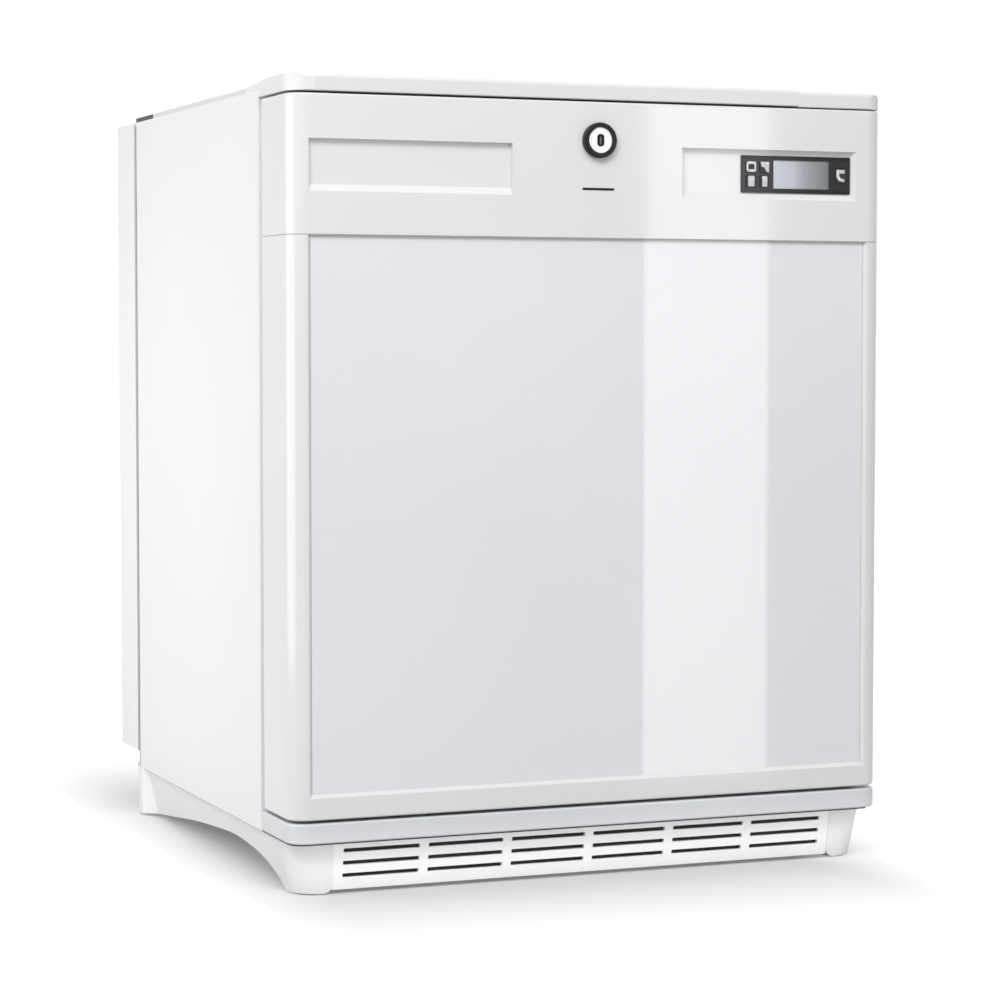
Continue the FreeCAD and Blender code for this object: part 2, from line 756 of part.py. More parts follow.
def inlet_notch(shrink):
    x, z = inlet_spot()
    half = INLET_PLATE_W / 2 - shrink
    return box(x - half, x + half, BODY_DEPTH - COVER_R + shrink, BODY_DEPTH, COVER_FOOT,
               z + INLET_PLATE_UP - shrink)


def rear_cover():
    body = cover_shell()
    slots = []
    for base in (COVER_FOOT + VENT_LOW_UP, CAB_Z1 - VENT_TOP_DROP - VENT_PITCH * VENT_ROWS):
        for row in range(VENT_ROWS):
            for sign in (-1, 1):
                x = sign * (VENT_LEN / 2 + VENT_PITCH / 2)
                z = base + row * VENT_PITCH
                slots.append(front_block(x - VENT_LEN / 2, x + VENT_LEN / 2, BODY_DEPTH - 2 * WALL,
                                         BODY_DEPTH, z, z + VENT_H, VENT_H / 3))
    return body.cut(slots).cut(cover_screws()).cut(inlet_notch(0))


def chimney_frame():
    side = HALF - FRAME_IN
    low, high = COVER_FOOT + FRAME_IN, CAB_Z1 - FRAME_IN
    body = box(-side, side, BACK_D, COVER_D0, low, high)
    lip = box(WALL - HALF, HALF - WALL, COVER_D0, COVER_D0 + FRAME_T, COVER_FOOT + WALL, CAB_Z1 - WALL)
    inner = box(FRAME_T - side, side - FRAME_T, BACK_D, COVER_D0 + FRAME_T, low + FRAME_T, high - FRAME_T)
    return body.fuse(lip).cut(inner).removeSplitter().cut(cover_screws())


def air_outlet():
    body = box(-HALF, HALF, CAB_D1 - OUTLET_D, CAB_D1, CAB_Z1, LID_Z)
    span = WIDTH - 4 * CAP_W
    slots = []
    for x in spread(OUTLET_SLOTS, span):
        slots.append(box(x - OUTLET_SLOT_W / 2, x + OUTLET_SLOT_W / 2, CAB_D1 - OUTLET_D + FRAME_T,
                         CAB_D1 - FRAME_T, CAB_Z1, LID_Z))
    return body.cut(slots)


def evaporator_entry():
    return -FIN_W / 2 + 3 * TUBE_R, FIN_Z1 - 2 * TUBE_R


def coil_exit():
    return FIN_W / 2 - 5 * TUBE_R, FIN_Z0 + 2 * TUBE_R


def absorber_vessel():
    body = rod(VESSEL_R, at(VESSEL_X[0], UNIT_D, VESSEL_Z), at(VESSEL_X[1], UNIT_D, VESSEL_Z))
    rims = [edge for edge in body.Edges if edge.Closed]
    return body.makeFillet(VESSEL_R / 3, rims)


def coil_points():
    x, z = VESSEL_X[0] + VESSEL_R, VESSEL_Z + VESSEL_R
    points = [at(x, UNIT_D, z - TUBE_R), at(x, UNIT_D, COIL_Z)]
    for run in range(COIL_RUNS):
        z = COIL_Z + COIL_PITCH * run
        points.append(at(COIL_X[(run + 1) % 2], UNIT_D, z))
        if run < COIL_RUNS - 1:
            points.append(at(COIL_X[(run + 1) % 2], UNIT_D, z + COIL_PITCH))
    x, z = coil_exit()
    points[-1] = at(x, UNIT_D, COIL_TOP_Z)
    points.append(at(x, UNIT_D, z))
    points.append(at(x, COLD_D1 - WALL, z))
    return points


def absorber_coil():
    body = tube(coil_points(), TUBE_R, COIL_BEND)
    return body.cut(rod(VESSEL_R, at(VESSEL_X[0], UNIT_D, VESSEL_Z), at(VESSEL_X[1], UNIT_D, VESSEL_Z)))


def boiler_tube():
    points = [at(VESSEL_X[1], UNIT_D, VESSEL_Z), at(BOILER_X, UNIT_D, VESSEL_Z),
              at(BOILER_X, UNIT_D, CONDENSER_Z), at(CONDENSER_X[1], UNIT_D, CONDENSER_Z)]
    return tube(points, TUBE_R, BOILER_BEND)


def boiler_jacket():
    body = plan_block(BOILER_X - JACKET_W / 2, BOILER_X + JACKET_W / 2, BACK_D, BACK_D + JACKET_D,
                      JACKET_Z[0], JACKET_Z[1], [0, 0, FRAME_T, FRAME_T])
    body = body.cut(rod(TUBE_R, at(BOILER_X, UNIT_D, JACKET_Z[0]), at(BOILER_X, UNIT_D, JACKET_Z[1])))
    return body.cut(heater_cartridge())


def heater_cartridge():
    x = BOILER_X - HEATER_OFFSET
    return rod(HEATER_R, at(x, UNIT_D, JACKET_Z[0]), at(x, UNIT_D, JACKET_Z[0] + HEATER_LEN))


def condenser_tube():
    return rod(TUBE_R, at(CONDENSER_X[0], UNIT_D, CONDENSER_Z), at(CONDENSER_X[1], UNIT_D, CONDENSER_Z))


def condenser():
    fins = []
    half = CFIN_SIZE / 2
    centre = (CONDENSER_X[0] + CONDENSER_X[1]) / 2
    span = CONDENSER_X[1] - CONDENSER_X[0] - CFIN_SIZE
    for x in spread(CFIN_COUNT, span):
        fins.append(box(centre + x, centre + x + CFIN_T, UNIT_D - half, UNIT_D + half,
                        CONDENSER_Z - half, CONDENSER_Z + half))
    return condenser_tube().fuse(fins).removeSplitter()


def evaporator_pipe():
    x, z = evaporator_entry()
    left = CONDENSER_X[0] - 2 * BOILER_BEND
    points = [at(CONDENSER_X[0], UNIT_D, CONDENSER_Z), at(left, UNIT_D, CONDENSER_Z), at(left, UNIT_D, z),
              at(x, UNIT_D, z), at(x, COLD_D1 - WALL, z)]
    return tube(points, TUBE_R, COIL_BEND)


def unit_brackets():
    pieces = []
    for x in (VESSEL_X[0] + 2 * VESSEL_R, VESSEL_X[1] - VESSEL_R):
        block = box(x - FRAME_T, x + FRAME_T, BACK_D, UNIT_D, VESSEL_Z - FRAME_T, VESSEL_Z + FRAME_T)
        pieces.append(block.cut(rod(VESSEL_R, at(x - VESSEL_R, UNIT_D, VESSEL_Z),
                                    at(x + VESSEL_R, UNIT_D, VESSEL_Z))))
    for x in (CONDENSER_X[0] + TUBE_R, CONDENSER_X[1] - TUBE_R):
        block = box(x - WALL / 2, x + WALL / 2, BACK_D, UNIT_D + 2 * TUBE_R, CONDENSER_Z - 2 * TUBE_R,
                    CONDENSER_Z + 2 * TUBE_R)
        pieces.append(block.cut(condenser_tube()))
    comb = box(-FRAME_T, FRAME_T, BACK_D, UNIT_D, COIL_Z - TUBE_R, COIL_TOP_Z + TUBE_R)
    for run in range(COIL_RUNS):
        z = COIL_Z + COIL_PITCH * run
        comb = comb.cut(rod(TUBE_R, at(-VESSEL_R, UNIT_D, z), at(VESSEL_R, UNIT_D, z)))
    pieces.append(comb.cut(drain_path(DRAIN_R + TOUCH)))
    return pieces


def inlet_spot():
    return (MODULE_X[0] + MODULE_X[1]) / 2, (MODULE_Z[0] + MODULE_Z[1]) / 2


def power_module():
    return plan_block(MODULE_X[0], MODULE_X[1], BACK_D, BACK_D + MODULE_D, MODULE_Z[0], MODULE_Z[1],
                      [0, 0, WALL, WALL])


def mains_inlet():
    x, z = inlet_spot()
    body = box(x - INLET_W / 2, x + INLET_W / 2, BACK_D + MODULE_D, BODY_DEPTH, z - INLET_H / 2,
               z + INLET_H / 2)
    body = body.fuse(cover_shell().common(inlet_notch(TOUCH))).removeSplitter()
    body = body.cut(box(x - INLET_SLOT_W / 2, x + INLET_SLOT_W / 2, BODY_DEPTH - INLET_DEPTH,
                        BODY_DEPTH, z - INLET_SLOT_H / 2, z + INLET_SLOT_H / 2))
    blades = []
    for step, lift in ((-1, -1), (0, 1), (1, -1)):
        px, pz = x + step * INLET_W / 4, z + lift * SCREW_R
        blades.append(box(px - SHEET, px + SHEET, BODY_DEPTH - INLET_DEPTH, BODY_DEPTH - WALL,
                          pz - SCREW_R, pz + SCREW_R))
    return body.fuse(blades).removeSplitter()


def cover_screws():
    d = COVER_D0 + FRAME_T / 2
    screws = []
    for x in spread(COVER_SCREWS, WIDTH - 2 * COVER_SCREW_SIDE):
        screws.append(screw(at(x, d, CAB_Z1 + SCREW_HEAD_H), V(0, 0, -1)))
        screws.append(screw(at(x, d, COVER_FOOT - SCREW_HEAD_H), V(0, 0, 1)))
    return screws


# Door

def door_block(z0, z1):
    return plan_block(-HALF, HALF, 0, DOOR_T, z0, z1, [CORNER_R, CORNER_R, REAR_R, REAR_R])


def door_core(z0, z1):
    return plan_block(WALL - HALF, HALF - WALL, DOOR_FRONT_T, DOOR_T - LINER_PLATE_T, z0, z1,
                      [CORNER_R - WALL, CORNER_R - WALL, 0, 0])


def liner_pocket(z0, z1):
    return plan_block(WALL - HALF, HALF - WALL, DOOR_T - LINER_PLATE_T, DOOR_T, z0, z1,
                      [0, 0, REAR_R - WALL, REAR_R - WALL])


def door_void(z0, z1):
    return door_core(z0, z1).fuse(liner_pocket(z0, z1)).removeSplitter()


def bush_body(z0, z1, radius):
    return rod(radius, at(HINGE_X, HINGE_D, z0), at(HINGE_X, HINGE_D, z1))


def panel_space():
    low = DOOR_Z0 + PANEL_FOOT
    side = HALF - PANEL_SIDE
    wires = []
    for d, inset, lift in ((0, 0, 0), (PANEL_BACK, BEVEL_SIDE, BEVEL_FOOT)):
        wires.append(loop([at(inset - side, d, low + lift), at(side - inset, d, low + lift),
                           at(side - inset, d, SPLIT_Z), at(inset - side, d, SPLIT_Z)], [0, 0, 0, 0]))
    bevel = Part.makeLoft(wires, True, True)
    return bevel.fuse(panel_sheet(0))


def panel_sheet(gap):
    low = DOOR_Z0 + PANEL_FOOT + BEVEL_FOOT
    side = HALF - PANEL_SIDE - BEVEL_SIDE - gap
    return box(-side, side, PANEL_BACK, PANEL_BACK + PANEL_T, low, SPLIT_Z - SPLIT_GAP)


def door_shell():
    top = SPLIT_Z - SPLIT_GAP
    body = soften(door_block(DOOR_Z0, top), DOOR_Z0)
    body = body.cut(door_void(DOOR_Z0 + WALL, top))
    body = body.cut(panel_space())
    return body.cut(bush_body(DOOR_Z0, DOOR_Z0 + WALL, BUSH_R))


def decor_panel():
    return panel_sheet(PANEL_GAP)


def recess(sign):
    z0 = SPLIT_Z + RECESS_FOOT
    outer, lean = (RECESS_RIGHT, RECESS_SLOPE_RIGHT) if sign > 0 else (RECESS_LEFT, RECESS_SLOPE_LEFT)
    x0, x1 = sorted((sign * RECESS_IN, sign * outer))
    profile = [(0, z0), (RECESS_D, z0 + RECESS_BEVEL), (RECESS_D, z0 + RECESS_H), (0, z0 + RECESS_H)]
    body = side_block(x0, x1, profile, [0] * len(profile))
    slope = [at(sign * RECESS_IN, 0, z0), at(sign * outer, 0, z0)]
    slope += [at(sign * (outer - lean), RECESS_D, z0), at(sign * RECESS_IN, RECESS_D, z0)]
    return body.common(prism(slope, [0] * len(slope), V(0, 0, RECESS_H)))


def controller_hole():
    half_w, half_h = CTRL_W / 2 - CTRL_BODY_IN, CTRL_H / 2 - CTRL_BODY_IN
    return box(CTRL_X - half_w, CTRL_X + half_w, 0, RECESS_D + CTRL_D, CTRL_Z - half_h, CTRL_Z + half_h)


def cam_space():
    return box(-CAM_REACH - CAM_ROOM, CAM_ROOM, LOCK_LEN - CAM_T, CAM_D + CAM_T + CAM_ROOM,
               LOCK_Z - CAM_ROOM, DOOR_Z1)


def door_fascia():
    body = soften(door_block(SPLIT_Z, DOOR_Z1), DOOR_Z1)
    body = body.cut(door_void(SPLIT_Z, DOOR_Z1 - WALL))
    body = body.cut([recess(-1), recess(1), controller_hole()])
    body = body.cut(rod(LOCK_BODY_R, at(0, 0, LOCK_Z), at(0, DOOR_FRONT_T, LOCK_Z)))
    body = body.cut(badge_groove())
    body = body.cut(top_slot())
    return body.cut(bush_body(DOOR_Z1 - WALL, DOOR_Z1, BUSH_R))


def top_slot():
    return box(-TOP_SWING, CAM_W, CAM_D - CAM_T, CAM_D + 2 * CAM_T, DOOR_Z1 - WALL, DOOR_Z1)


def badge_groove():
    z = SPLIT_Z + BADGE_UP
    return box(-BADGE_L / 2, BADGE_L / 2, 0, SHEET, z - BADGE_H / 2, z + BADGE_H / 2)


def lock_housing():
    body = rod(LOCK_BODY_R, at(0, 0, LOCK_Z), at(0, LOCK_LEN - CAM_T, LOCK_Z))
    body = body.fuse(rod(LOCK_RIM_R, at(0, -LOCK_PROUD, LOCK_Z), at(0, 0, LOCK_Z)))
    rims = [edge for edge in body.Edges if edge.Closed and edge.BoundBox.YMin < FACE_Y - LOCK_PROUD / 2]
    body = body.makeFillet(SHEET, rims)
    return body.cut(rod(LOCK_BORE_R, at(0, -LOCK_PROUD, LOCK_Z), at(0, LOCK_LEN, LOCK_Z)))


def lock_cylinder():
    radius = LOCK_BORE_R - LOCK_FIT
    body = rod(radius, at(0, SHEET - LOCK_PROUD, LOCK_Z), at(0, CAM_D, LOCK_Z))
    deep = SHEET - LOCK_PROUD + LOCK_LEN / 2
    slot = box(-KEYHOLE_W / 2, KEYHOLE_W / 2, -LOCK_PROUD, deep, LOCK_Z - KEYHOLE_H / 2,
               LOCK_Z + KEYHOLE_H / 2)
    return body.cut([slot, rod(KEYHOLE_R, at(0, -LOCK_PROUD, LOCK_Z), at(0, deep, LOCK_Z))])


def lock_cam():
    arm = front_block(-CAM_REACH, CAM_W / 2, CAM_D, CAM_D + CAM_T, LOCK_Z - CAM_W / 2,
                      LOCK_Z + CAM_W / 2, CAM_W / 4)
    hub = rod(LOCK_BORE_R - SHEET, at(0, CAM_D, LOCK_Z), at(0, CAM_D + CAM_T, LOCK_Z))
    return arm.fuse(hub).removeSplitter()


def controller_bezel():
    front = RECESS_D - CTRL_PROUD
    body = front_block(CTRL_X - CTRL_W / 2, CTRL_X + CTRL_W / 2, front, RECESS_D,
                       CTRL_Z - CTRL_H / 2, CTRL_Z + CTRL_H / 2, CTRL_R)
    body = body.fuse(controller_hole().common(box(-HALF, HALF, RECESS_D, RECESS_D + CTRL_D, SPLIT_Z,
                                                  DOOR_Z1)))
    half_w, half_h = CTRL_W / 2 - CTRL_BODY_IN - SHEET, CTRL_H / 2 - CTRL_BODY_IN - SHEET
    body = body.cut(box(CTRL_X - half_w, CTRL_X + half_w, RECESS_D, RECESS_D + CTRL_D,
                        CTRL_Z - half_h, CTRL_Z + half_h))
    body = body.cut(screen_window(0))
    for spot in key_spots():
        body = body.cut(key_block(spot, KEY_GAP, 0, RECESS_D))
    return body.removeSplitter()


def screen_window(shrink):
    x = CTRL_X + SCREEN_X
    return box(x - SCREEN_W / 2 + shrink, x + SCREEN_W / 2 - shrink, RECESS_D - CTRL_PROUD, RECESS_D,
               CTRL_Z - SCREEN_H / 2 + shrink, CTRL_Z + SCREEN_H / 2 - shrink)


def key_spots():
    spots = []
    for z in (KEY_ROW, -KEY_ROW):
        spots.append((-KEY_OUT, z, KEY_W, KEY_H))
        spots.append((-KEY_IN, z, KEY_IN_W, KEY_H))
    spots.append((KEY_OUT, 0, KEY_W, KEY_TALL))
    return spots


def key_block(spot, grow, d0, d1):
    dx, dz, width, height = spot
    x, z = CTRL_X + dx, CTRL_Z + dz
    return front_block(x - width / 2 - grow, x + width / 2 + grow, d0, d1,
                       z - height / 2 - grow, z + height / 2 + grow, SHEET + grow)


def key(spot):
    front = RECESS_D - CTRL_PROUD - KEY_RISE
    back = board_d() - KEY_PRESS - KEY_GAP
    lip = RECESS_D + KEY_GAP
    return key_block(spot, 0, front, back).fuse(key_block(spot, KEY_LIP, lip,
                                                          lip + KEY_LIP_T)).removeSplitter()


def board_d():
    return RECESS_D + CTRL_D - BOARD_T


def screen():
    x = CTRL_X + SCREEN_X
    half_h = CTRL_H / 2 - CTRL_BODY_IN - SHEET
    rear = box(x - SCREEN_W / 2, x + SCREEN_W / 2, RECESS_D, board_d(), CTRL_Z - half_h, CTRL_Z + half_h)
    glass = screen_window(0).common(box(-HALF, HALF, RECESS_D - CTRL_PROUD / 2, RECESS_D, SPLIT_Z,
                                        DOOR_Z1))
    return rear.fuse(glass).removeSplitter()


def control_board():
    half_w, half_h = CTRL_W / 2 - CTRL_BODY_IN - SHEET, CTRL_H / 2 - CTRL_BODY_IN - SHEET
    return box(CTRL_X - half_w, CTRL_X + half_w, board_d(), RECESS_D + CTRL_D, CTRL_Z - half_h,
               CTRL_Z + half_h)


def door_foam():
    body = door_core(DOOR_Z0 + WALL, DOOR_Z1 - WALL)
    body = body.cut([cam_space(), controller_hole(), lock_shaft()])
    low = bush_body(DOOR_Z0, DOOR_Z0 + PIN_REACH + WALL, BUSH_R)
    high = bush_body(DOOR_Z1 - PIN_REACH - WALL, DOOR_Z1, BUSH_R)
    return body.cut([low, high])


def lock_shaft():
    return rod(LOCK_BODY_R, at(0, 0, LOCK_Z), at(0, LOCK_LEN, LOCK_Z))


def hinge_bushes():
    bore = PIN_R + PIN_FIT
    low = bush_body(DOOR_Z0, DOOR_Z0 + PIN_REACH + WALL, BUSH_R)
    low = low.cut(bush_body(DOOR_Z0, DOOR_Z0 + PIN_REACH + TOUCH, bore))
    high = bush_body(DOOR_Z1 - PIN_REACH - WALL, DOOR_Z1, BUSH_R)
    high = high.cut(bush_body(DOOR_Z1 - PIN_REACH - TOUCH, DOOR_Z1, bore))
    return [low, high]


def gasket_ring(grow, width, d0, d1):
    x, z0, z1 = OPEN_X + GASKET_IN + grow, OPEN_Z0 - GASKET_IN - grow, OPEN_Z1 + GASKET_IN + grow
    ring = front_block(-x - width, x + width, d0, d1, z0 - width, z1 + width, LINER_R + grow + width)
    return ring.cut(front_block(-x, x, d0, d1, z0, z1, LINER_R + grow))


def gasket():
    seal = gasket_ring(0, GASKET_W, DOOR_T, CAB_D0 - TOUCH)
    dart = gasket_ring((GASKET_W - DART_W) / 2, DART_W, DOOR_T - DART_D, DOOR_T)
    return seal.fuse(dart).removeSplitter()


def door_liner():
    body = liner_pocket(DOOR_Z0 + WALL, DOOR_Z1 - WALL)
    body = body.cut(gasket_ring((GASKET_W - DART_W) / 2, DART_W, DOOR_T - DART_D, DOOR_T))
    rails = []
    for sign in (-1, 1):
        x0, x1 = sorted((sign * RACK_HALF, sign * (RACK_HALF + RAIL_W)))
        rails.append(box(x0, x1, DOOR_T, DOOR_T + RAIL_D, OPEN_Z0 + RAIL_D, OPEN_Z1 - RAIL_D))
    return body.fuse(rails).removeSplitter()


def door_rack(level):
    z = OPEN_Z0 + level
    body = plan_block(-RACK_HALF, RACK_HALF, DOOR_T, DOOR_T + RACK_D, z, z + RACK_H,
                      [0, 0, LINER_R, LINER_R])
    inner = LINER_R - RACK_WALL
    return body.cut(plan_block(RACK_WALL - RACK_HALF, RACK_HALF - RACK_WALL, DOOR_T + RACK_WALL,
                               DOOR_T + RACK_D - RACK_WALL, z + RACK_WALL, z + RACK_H,
                               [0, 0, inner, inner]))


# One file per piece

save("plinth", plinth())
save("plinth_grille", plinth_grille())
save("foot_pads", foot_pads())
save("bottom_trim", bottom_trim())
save("top_trim", top_trim())
save("corner_cap", corner_cap())
save("hinge_cover", hinge_cover())
save("strike_plate", strike_plate())
save("side_panel_left", side_panel(-1))
save("side_panel_right", side_panel(1))
save("front_frame", front_frame())
save("bottom_pan", bottom_pan())
save("rear_wall", rear_wall())
save("top_lid", top_lid())
save("air_outlet", air_outlet())
save("liner", liner())
save("insulation", insulation())
save("hinge_plate_top", hinge_plate_top())
save("hinge_plate_bottom", hinge_plate_bottom())
save("hinge_screws", hinge_screws())
save("shelf_upper", shelf(SHELF_HIGH_UP))
save("shelf_lower", shelf(SHELF_LOW_UP))
save("evaporator", evaporator())
save("drip_tray", drip_tray())
save("drain_tube", drain_tube())
save("interior_lamp", interior_lamp())
save("sensor_probe", sensor_probe())
save("rear_cover", rear_cover())
save("chimney_frame", chimney_frame())
save("absorber_vessel", absorber_vessel())
save("absorber_coil", absorber_coil())
save("boiler_tube", boiler_tube())
save("boiler_jacket", boiler_jacket())
save("heater_cartridge", heater_cartridge())
save("condenser", condenser())
save("evaporator_pipe", evaporator_pipe())
save("unit_brackets", unit_brackets())
save("power_module", power_module())
save("mains_inlet", mains_inlet())
save("cover_screws", cover_screws())
save("door_shell", door_shell())
save("door_fascia", door_fascia())
save("decor_panel", decor_panel())
save("door_foam", door_foam())
save("door_liner", door_liner())
save("gasket", gasket())
save("rack_upper", door_rack(RACK_HIGH_UP))
save("rack_lower", door_rack(RACK_LOW_UP))
save("hinge_bushes", hinge_bushes())
save("lock_housing", lock_housing())
save("lock_cylinder", lock_cylinder())
save("lock_cam", lock_cam())
save("controller_bezel", controller_bezel())
save("screen", screen())
save("control_board", control_board())
for number, spot in enumerate(key_spots()):
    save("key_" + str(number + 1), key(spot))
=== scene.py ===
# %% [markdown]
# # A small refrigerator for medicines
# The solids of this refrigerator arrive ready made, in metres, with the door, the lock and the five keys
# already on their joints. This lesson dresses them: a camera, a plain studio, one finish for every kind
# of surface, and the small pieces that are too fine for the solids. Loading comes first, because
# everything later is placed by asking the loaded solids where they are.

# %% Load the solids
import bpy
import bmesh
import json
import math
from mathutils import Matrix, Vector


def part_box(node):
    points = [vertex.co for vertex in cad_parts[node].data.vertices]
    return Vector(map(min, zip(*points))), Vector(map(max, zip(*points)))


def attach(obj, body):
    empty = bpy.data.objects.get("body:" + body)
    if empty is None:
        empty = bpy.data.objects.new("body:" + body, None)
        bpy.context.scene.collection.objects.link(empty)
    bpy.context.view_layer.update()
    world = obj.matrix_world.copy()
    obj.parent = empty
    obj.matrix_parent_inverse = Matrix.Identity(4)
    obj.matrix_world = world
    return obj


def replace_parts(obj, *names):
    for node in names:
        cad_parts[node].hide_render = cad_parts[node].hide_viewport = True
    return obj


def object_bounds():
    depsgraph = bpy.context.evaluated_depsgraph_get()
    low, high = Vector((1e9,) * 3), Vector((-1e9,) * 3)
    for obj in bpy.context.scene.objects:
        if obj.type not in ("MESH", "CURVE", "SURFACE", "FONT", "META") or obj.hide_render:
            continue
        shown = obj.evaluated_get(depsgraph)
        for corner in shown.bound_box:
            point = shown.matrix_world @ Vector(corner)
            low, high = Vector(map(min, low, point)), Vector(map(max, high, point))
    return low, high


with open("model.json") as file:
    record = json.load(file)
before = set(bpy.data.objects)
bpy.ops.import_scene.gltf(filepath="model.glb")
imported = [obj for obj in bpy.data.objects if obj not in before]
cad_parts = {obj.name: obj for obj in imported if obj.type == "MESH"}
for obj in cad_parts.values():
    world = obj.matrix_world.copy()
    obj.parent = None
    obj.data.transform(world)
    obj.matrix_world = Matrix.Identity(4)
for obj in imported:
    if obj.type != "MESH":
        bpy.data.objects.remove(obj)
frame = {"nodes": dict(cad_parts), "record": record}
nodes = frame["nodes"]
record = frame["record"]
solid_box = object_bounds()
print("solids:", len(nodes), "box", [round(v, 3) for v in solid_box[1] - solid_box[0]])

# %% [markdown]
# ## Camera
# The picture was taken from the front left, a little below the top edge, with a long lens: upright
# lines stay almost upright. A camera can be aimed with a constraint, but two plain angles and a place
# are easier to read, so it stands 2.4 m away, turned 22 degrees to the right and tipped down 3 degrees.

# %% Camera
CAMERA_SPOT = Vector((-0.8774, -2.2365, 0.4074))
CAMERA_TURN = math.radians(-21.841)
CAMERA_TIP = math.radians(90 - 3.172)
LENS_MM = 104.724
SENSOR_MM = 36.0

lens = bpy.data.cameras.new("camera")
lens.lens = LENS_MM
lens.sensor_width = SENSOR_MM
camera = bpy.data.objects.new("camera", lens)
camera.location = CAMERA_SPOT
camera.rotation_euler = (CAMERA_TIP, 0, CAMERA_TURN)
bpy.context.scene.collection.objects.link(camera)
bpy.context.scene.camera = camera
print("camera at", [round(v, 2) for v in camera.location])

# %% [markdown]
# ## Studio
# A white refrigerator on a white ground only reads if the ground keeps its shadow. More lamps could make
# the ground white, but they would bleach the refrigerator too. So the floor is a big matt sheet, and the
# camera sees a little extra glow on it. The glow is weakest at the plinth and grows with the distance from
# it: round the feet the real shadow is deepened by a painted shadow, and further out the ground reaches
# plain white. The distance counts more to the sides than to the front, because the picture's shadow reaches
# furthest forward. The world does much the same for the backdrop, without a shadow: it is plain white
# where it is seen, and lights with less.

# %% Floor and world
FLOOR_SIZE = 12.0
FLOOR_TONE = 0.5
# GLOW_NEAR is the glow next to the plinth: kept low, it paints a shadow round the feet on top of the real
# one.
GLOW_NEAR, GLOW_FAR = 0.17, 1.0
GLOW_REACH = 0.53
GLOW_MIRRORED = 0.6
GLOW_INSET_LOW, GLOW_INSET_HIGH = Vector((0.035, 0, 0)), Vector((0.06, 0, 0))
GLOW_STRETCH_LOW, GLOW_STRETCH_HIGH = Vector((2.6, 1.1, 0)), Vector((3.5, 1, 0))
WORLD_LIGHT, WORLD_SEEN = 0.66, 1.0
WORLD_MIRRORED = 1.0
NUMBER, VECTOR = "ShaderNodeMath", "ShaderNodeVectorMath"

scene = bpy.context.scene
scene.view_settings.view_transform = "Standard"


def link(tree, start, start_socket, end, end_socket):
    tree.links.new(start.outputs[start_socket], end.inputs[end_socket])


def add(tree, kind, **inputs):
    node = tree.nodes.new(kind)
    for name, value in inputs.items():
        node.inputs[name.replace("_", " ")].default_value = value
    return node


def operate(tree, kind, operation, value=None):
    node = tree.nodes.new(kind)
    node.operation = operation
    if value is not None:
        node.inputs[1].default_value = value
    return node


def seen_directly(tree, mirrored_share):
    path = tree.nodes.new("ShaderNodeLightPath")
    mirror = operate(tree, NUMBER, "MULTIPLY", mirrored_share)
    link(tree, path, "Is Glossy Ray", mirror, 0)
    either = operate(tree, NUMBER, "MAXIMUM")
    link(tree, path, "Is Camera Ray", either, 0)
    link(tree, mirror, 0, either, 1)
    through = operate(tree, NUMBER, "MAXIMUM")
    link(tree, either, 0, through, 0)
    link(tree, path, "Is Transmission Ray", through, 1)
    return through


def past_edge(tree, place, edge, stretch):
    offset = operate(tree, VECTOR, "SUBTRACT", edge)
    link(tree, place, "Position", offset, 0)
    scaled = operate(tree, VECTOR, "MULTIPLY", stretch)
    link(tree, offset, 0, scaled, 0)
    outside = operate(tree, VECTOR, "MAXIMUM", Vector((0, 0, 0)))
    link(tree, scaled, 0, outside, 0)
    return outside


# The glow rises with the distance from the plinth's outline, so its low level near the feet is a painted
# shadow.
def glow_with_painted_shadow(tree):
    place = tree.nodes.new("ShaderNodeNewGeometry")
    low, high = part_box("plinth")
    before = past_edge(tree, place, low + GLOW_INSET_LOW, -GLOW_STRETCH_LOW)
    behind = past_edge(tree, place, high - GLOW_INSET_HIGH, GLOW_STRETCH_HIGH)
    outside = operate(tree, VECTOR, "ADD")
    link(tree, before, 0, outside, 0)
    link(tree, behind, 0, outside, 1)
    away = operate(tree, VECTOR, "LENGTH")
    link(tree, outside, 0, away, 0)
    level = add(tree, "ShaderNodeMapRange", From_Max=GLOW_REACH, To_Min=GLOW_NEAR, To_Max=GLOW_FAR)
    link(tree, away, "Value", level, "Value")
    strength = operate(tree, NUMBER, "MULTIPLY")
    link(tree, seen_directly(tree, GLOW_MIRRORED), 0, strength, 0)
    link(tree, level, 0, strength, 1)
    glow = tree.nodes.new("ShaderNodeEmission")
    link(tree, strength, 0, glow, "Strength")
    return glow


def make_floor():
    half = FLOOR_SIZE / 2
    corners = [(-half, -half, 0), (half, -half, 0), (half, half, 0), (-half, half, 0)]
    mesh = bpy.data.meshes.new("floor")
    mesh.from_pydata(corners, [], [(0, 1, 2, 3)])
    floor = bpy.data.objects.new("floor", mesh)
    scene.collection.objects.link(floor)
    paper = bpy.data.materials.new("floor_paper")
    paper.use_nodes = True
    tree = paper.node_tree
    tree.nodes.clear()
    out = tree.nodes.new("ShaderNodeOutputMaterial")
    matt = add(tree, "ShaderNodeBsdfDiffuse", Color=(FLOOR_TONE, FLOOR_TONE, FLOOR_TONE, 1))
    both = tree.nodes.new("ShaderNodeAddShader")
    link(tree, matt, 0, both, 0)
    link(tree, glow_with_painted_shadow(tree), 0, both, 1)
    link(tree, both, 0, out, "Surface")
    mesh.materials.append(paper)


def make_world():
    world = bpy.data.worlds.new("studio")
    world.use_nodes = True
    tree = world.node_tree
    back = tree.nodes["Background"]
    back.inputs["Color"].default_value = (1, 1, 1, 1)
    level = add(tree, "ShaderNodeMapRange", To_Min=WORLD_LIGHT, To_Max=WORLD_SEEN)
    link(tree, seen_directly(tree, WORLD_MIRRORED), 0, level, "Value")
    link(tree, level, 0, back, "Strength")
    scene.world = world


make_floor()
make_world()
print("floor", FLOOR_SIZE, "m across, world light", WORLD_LIGHT)

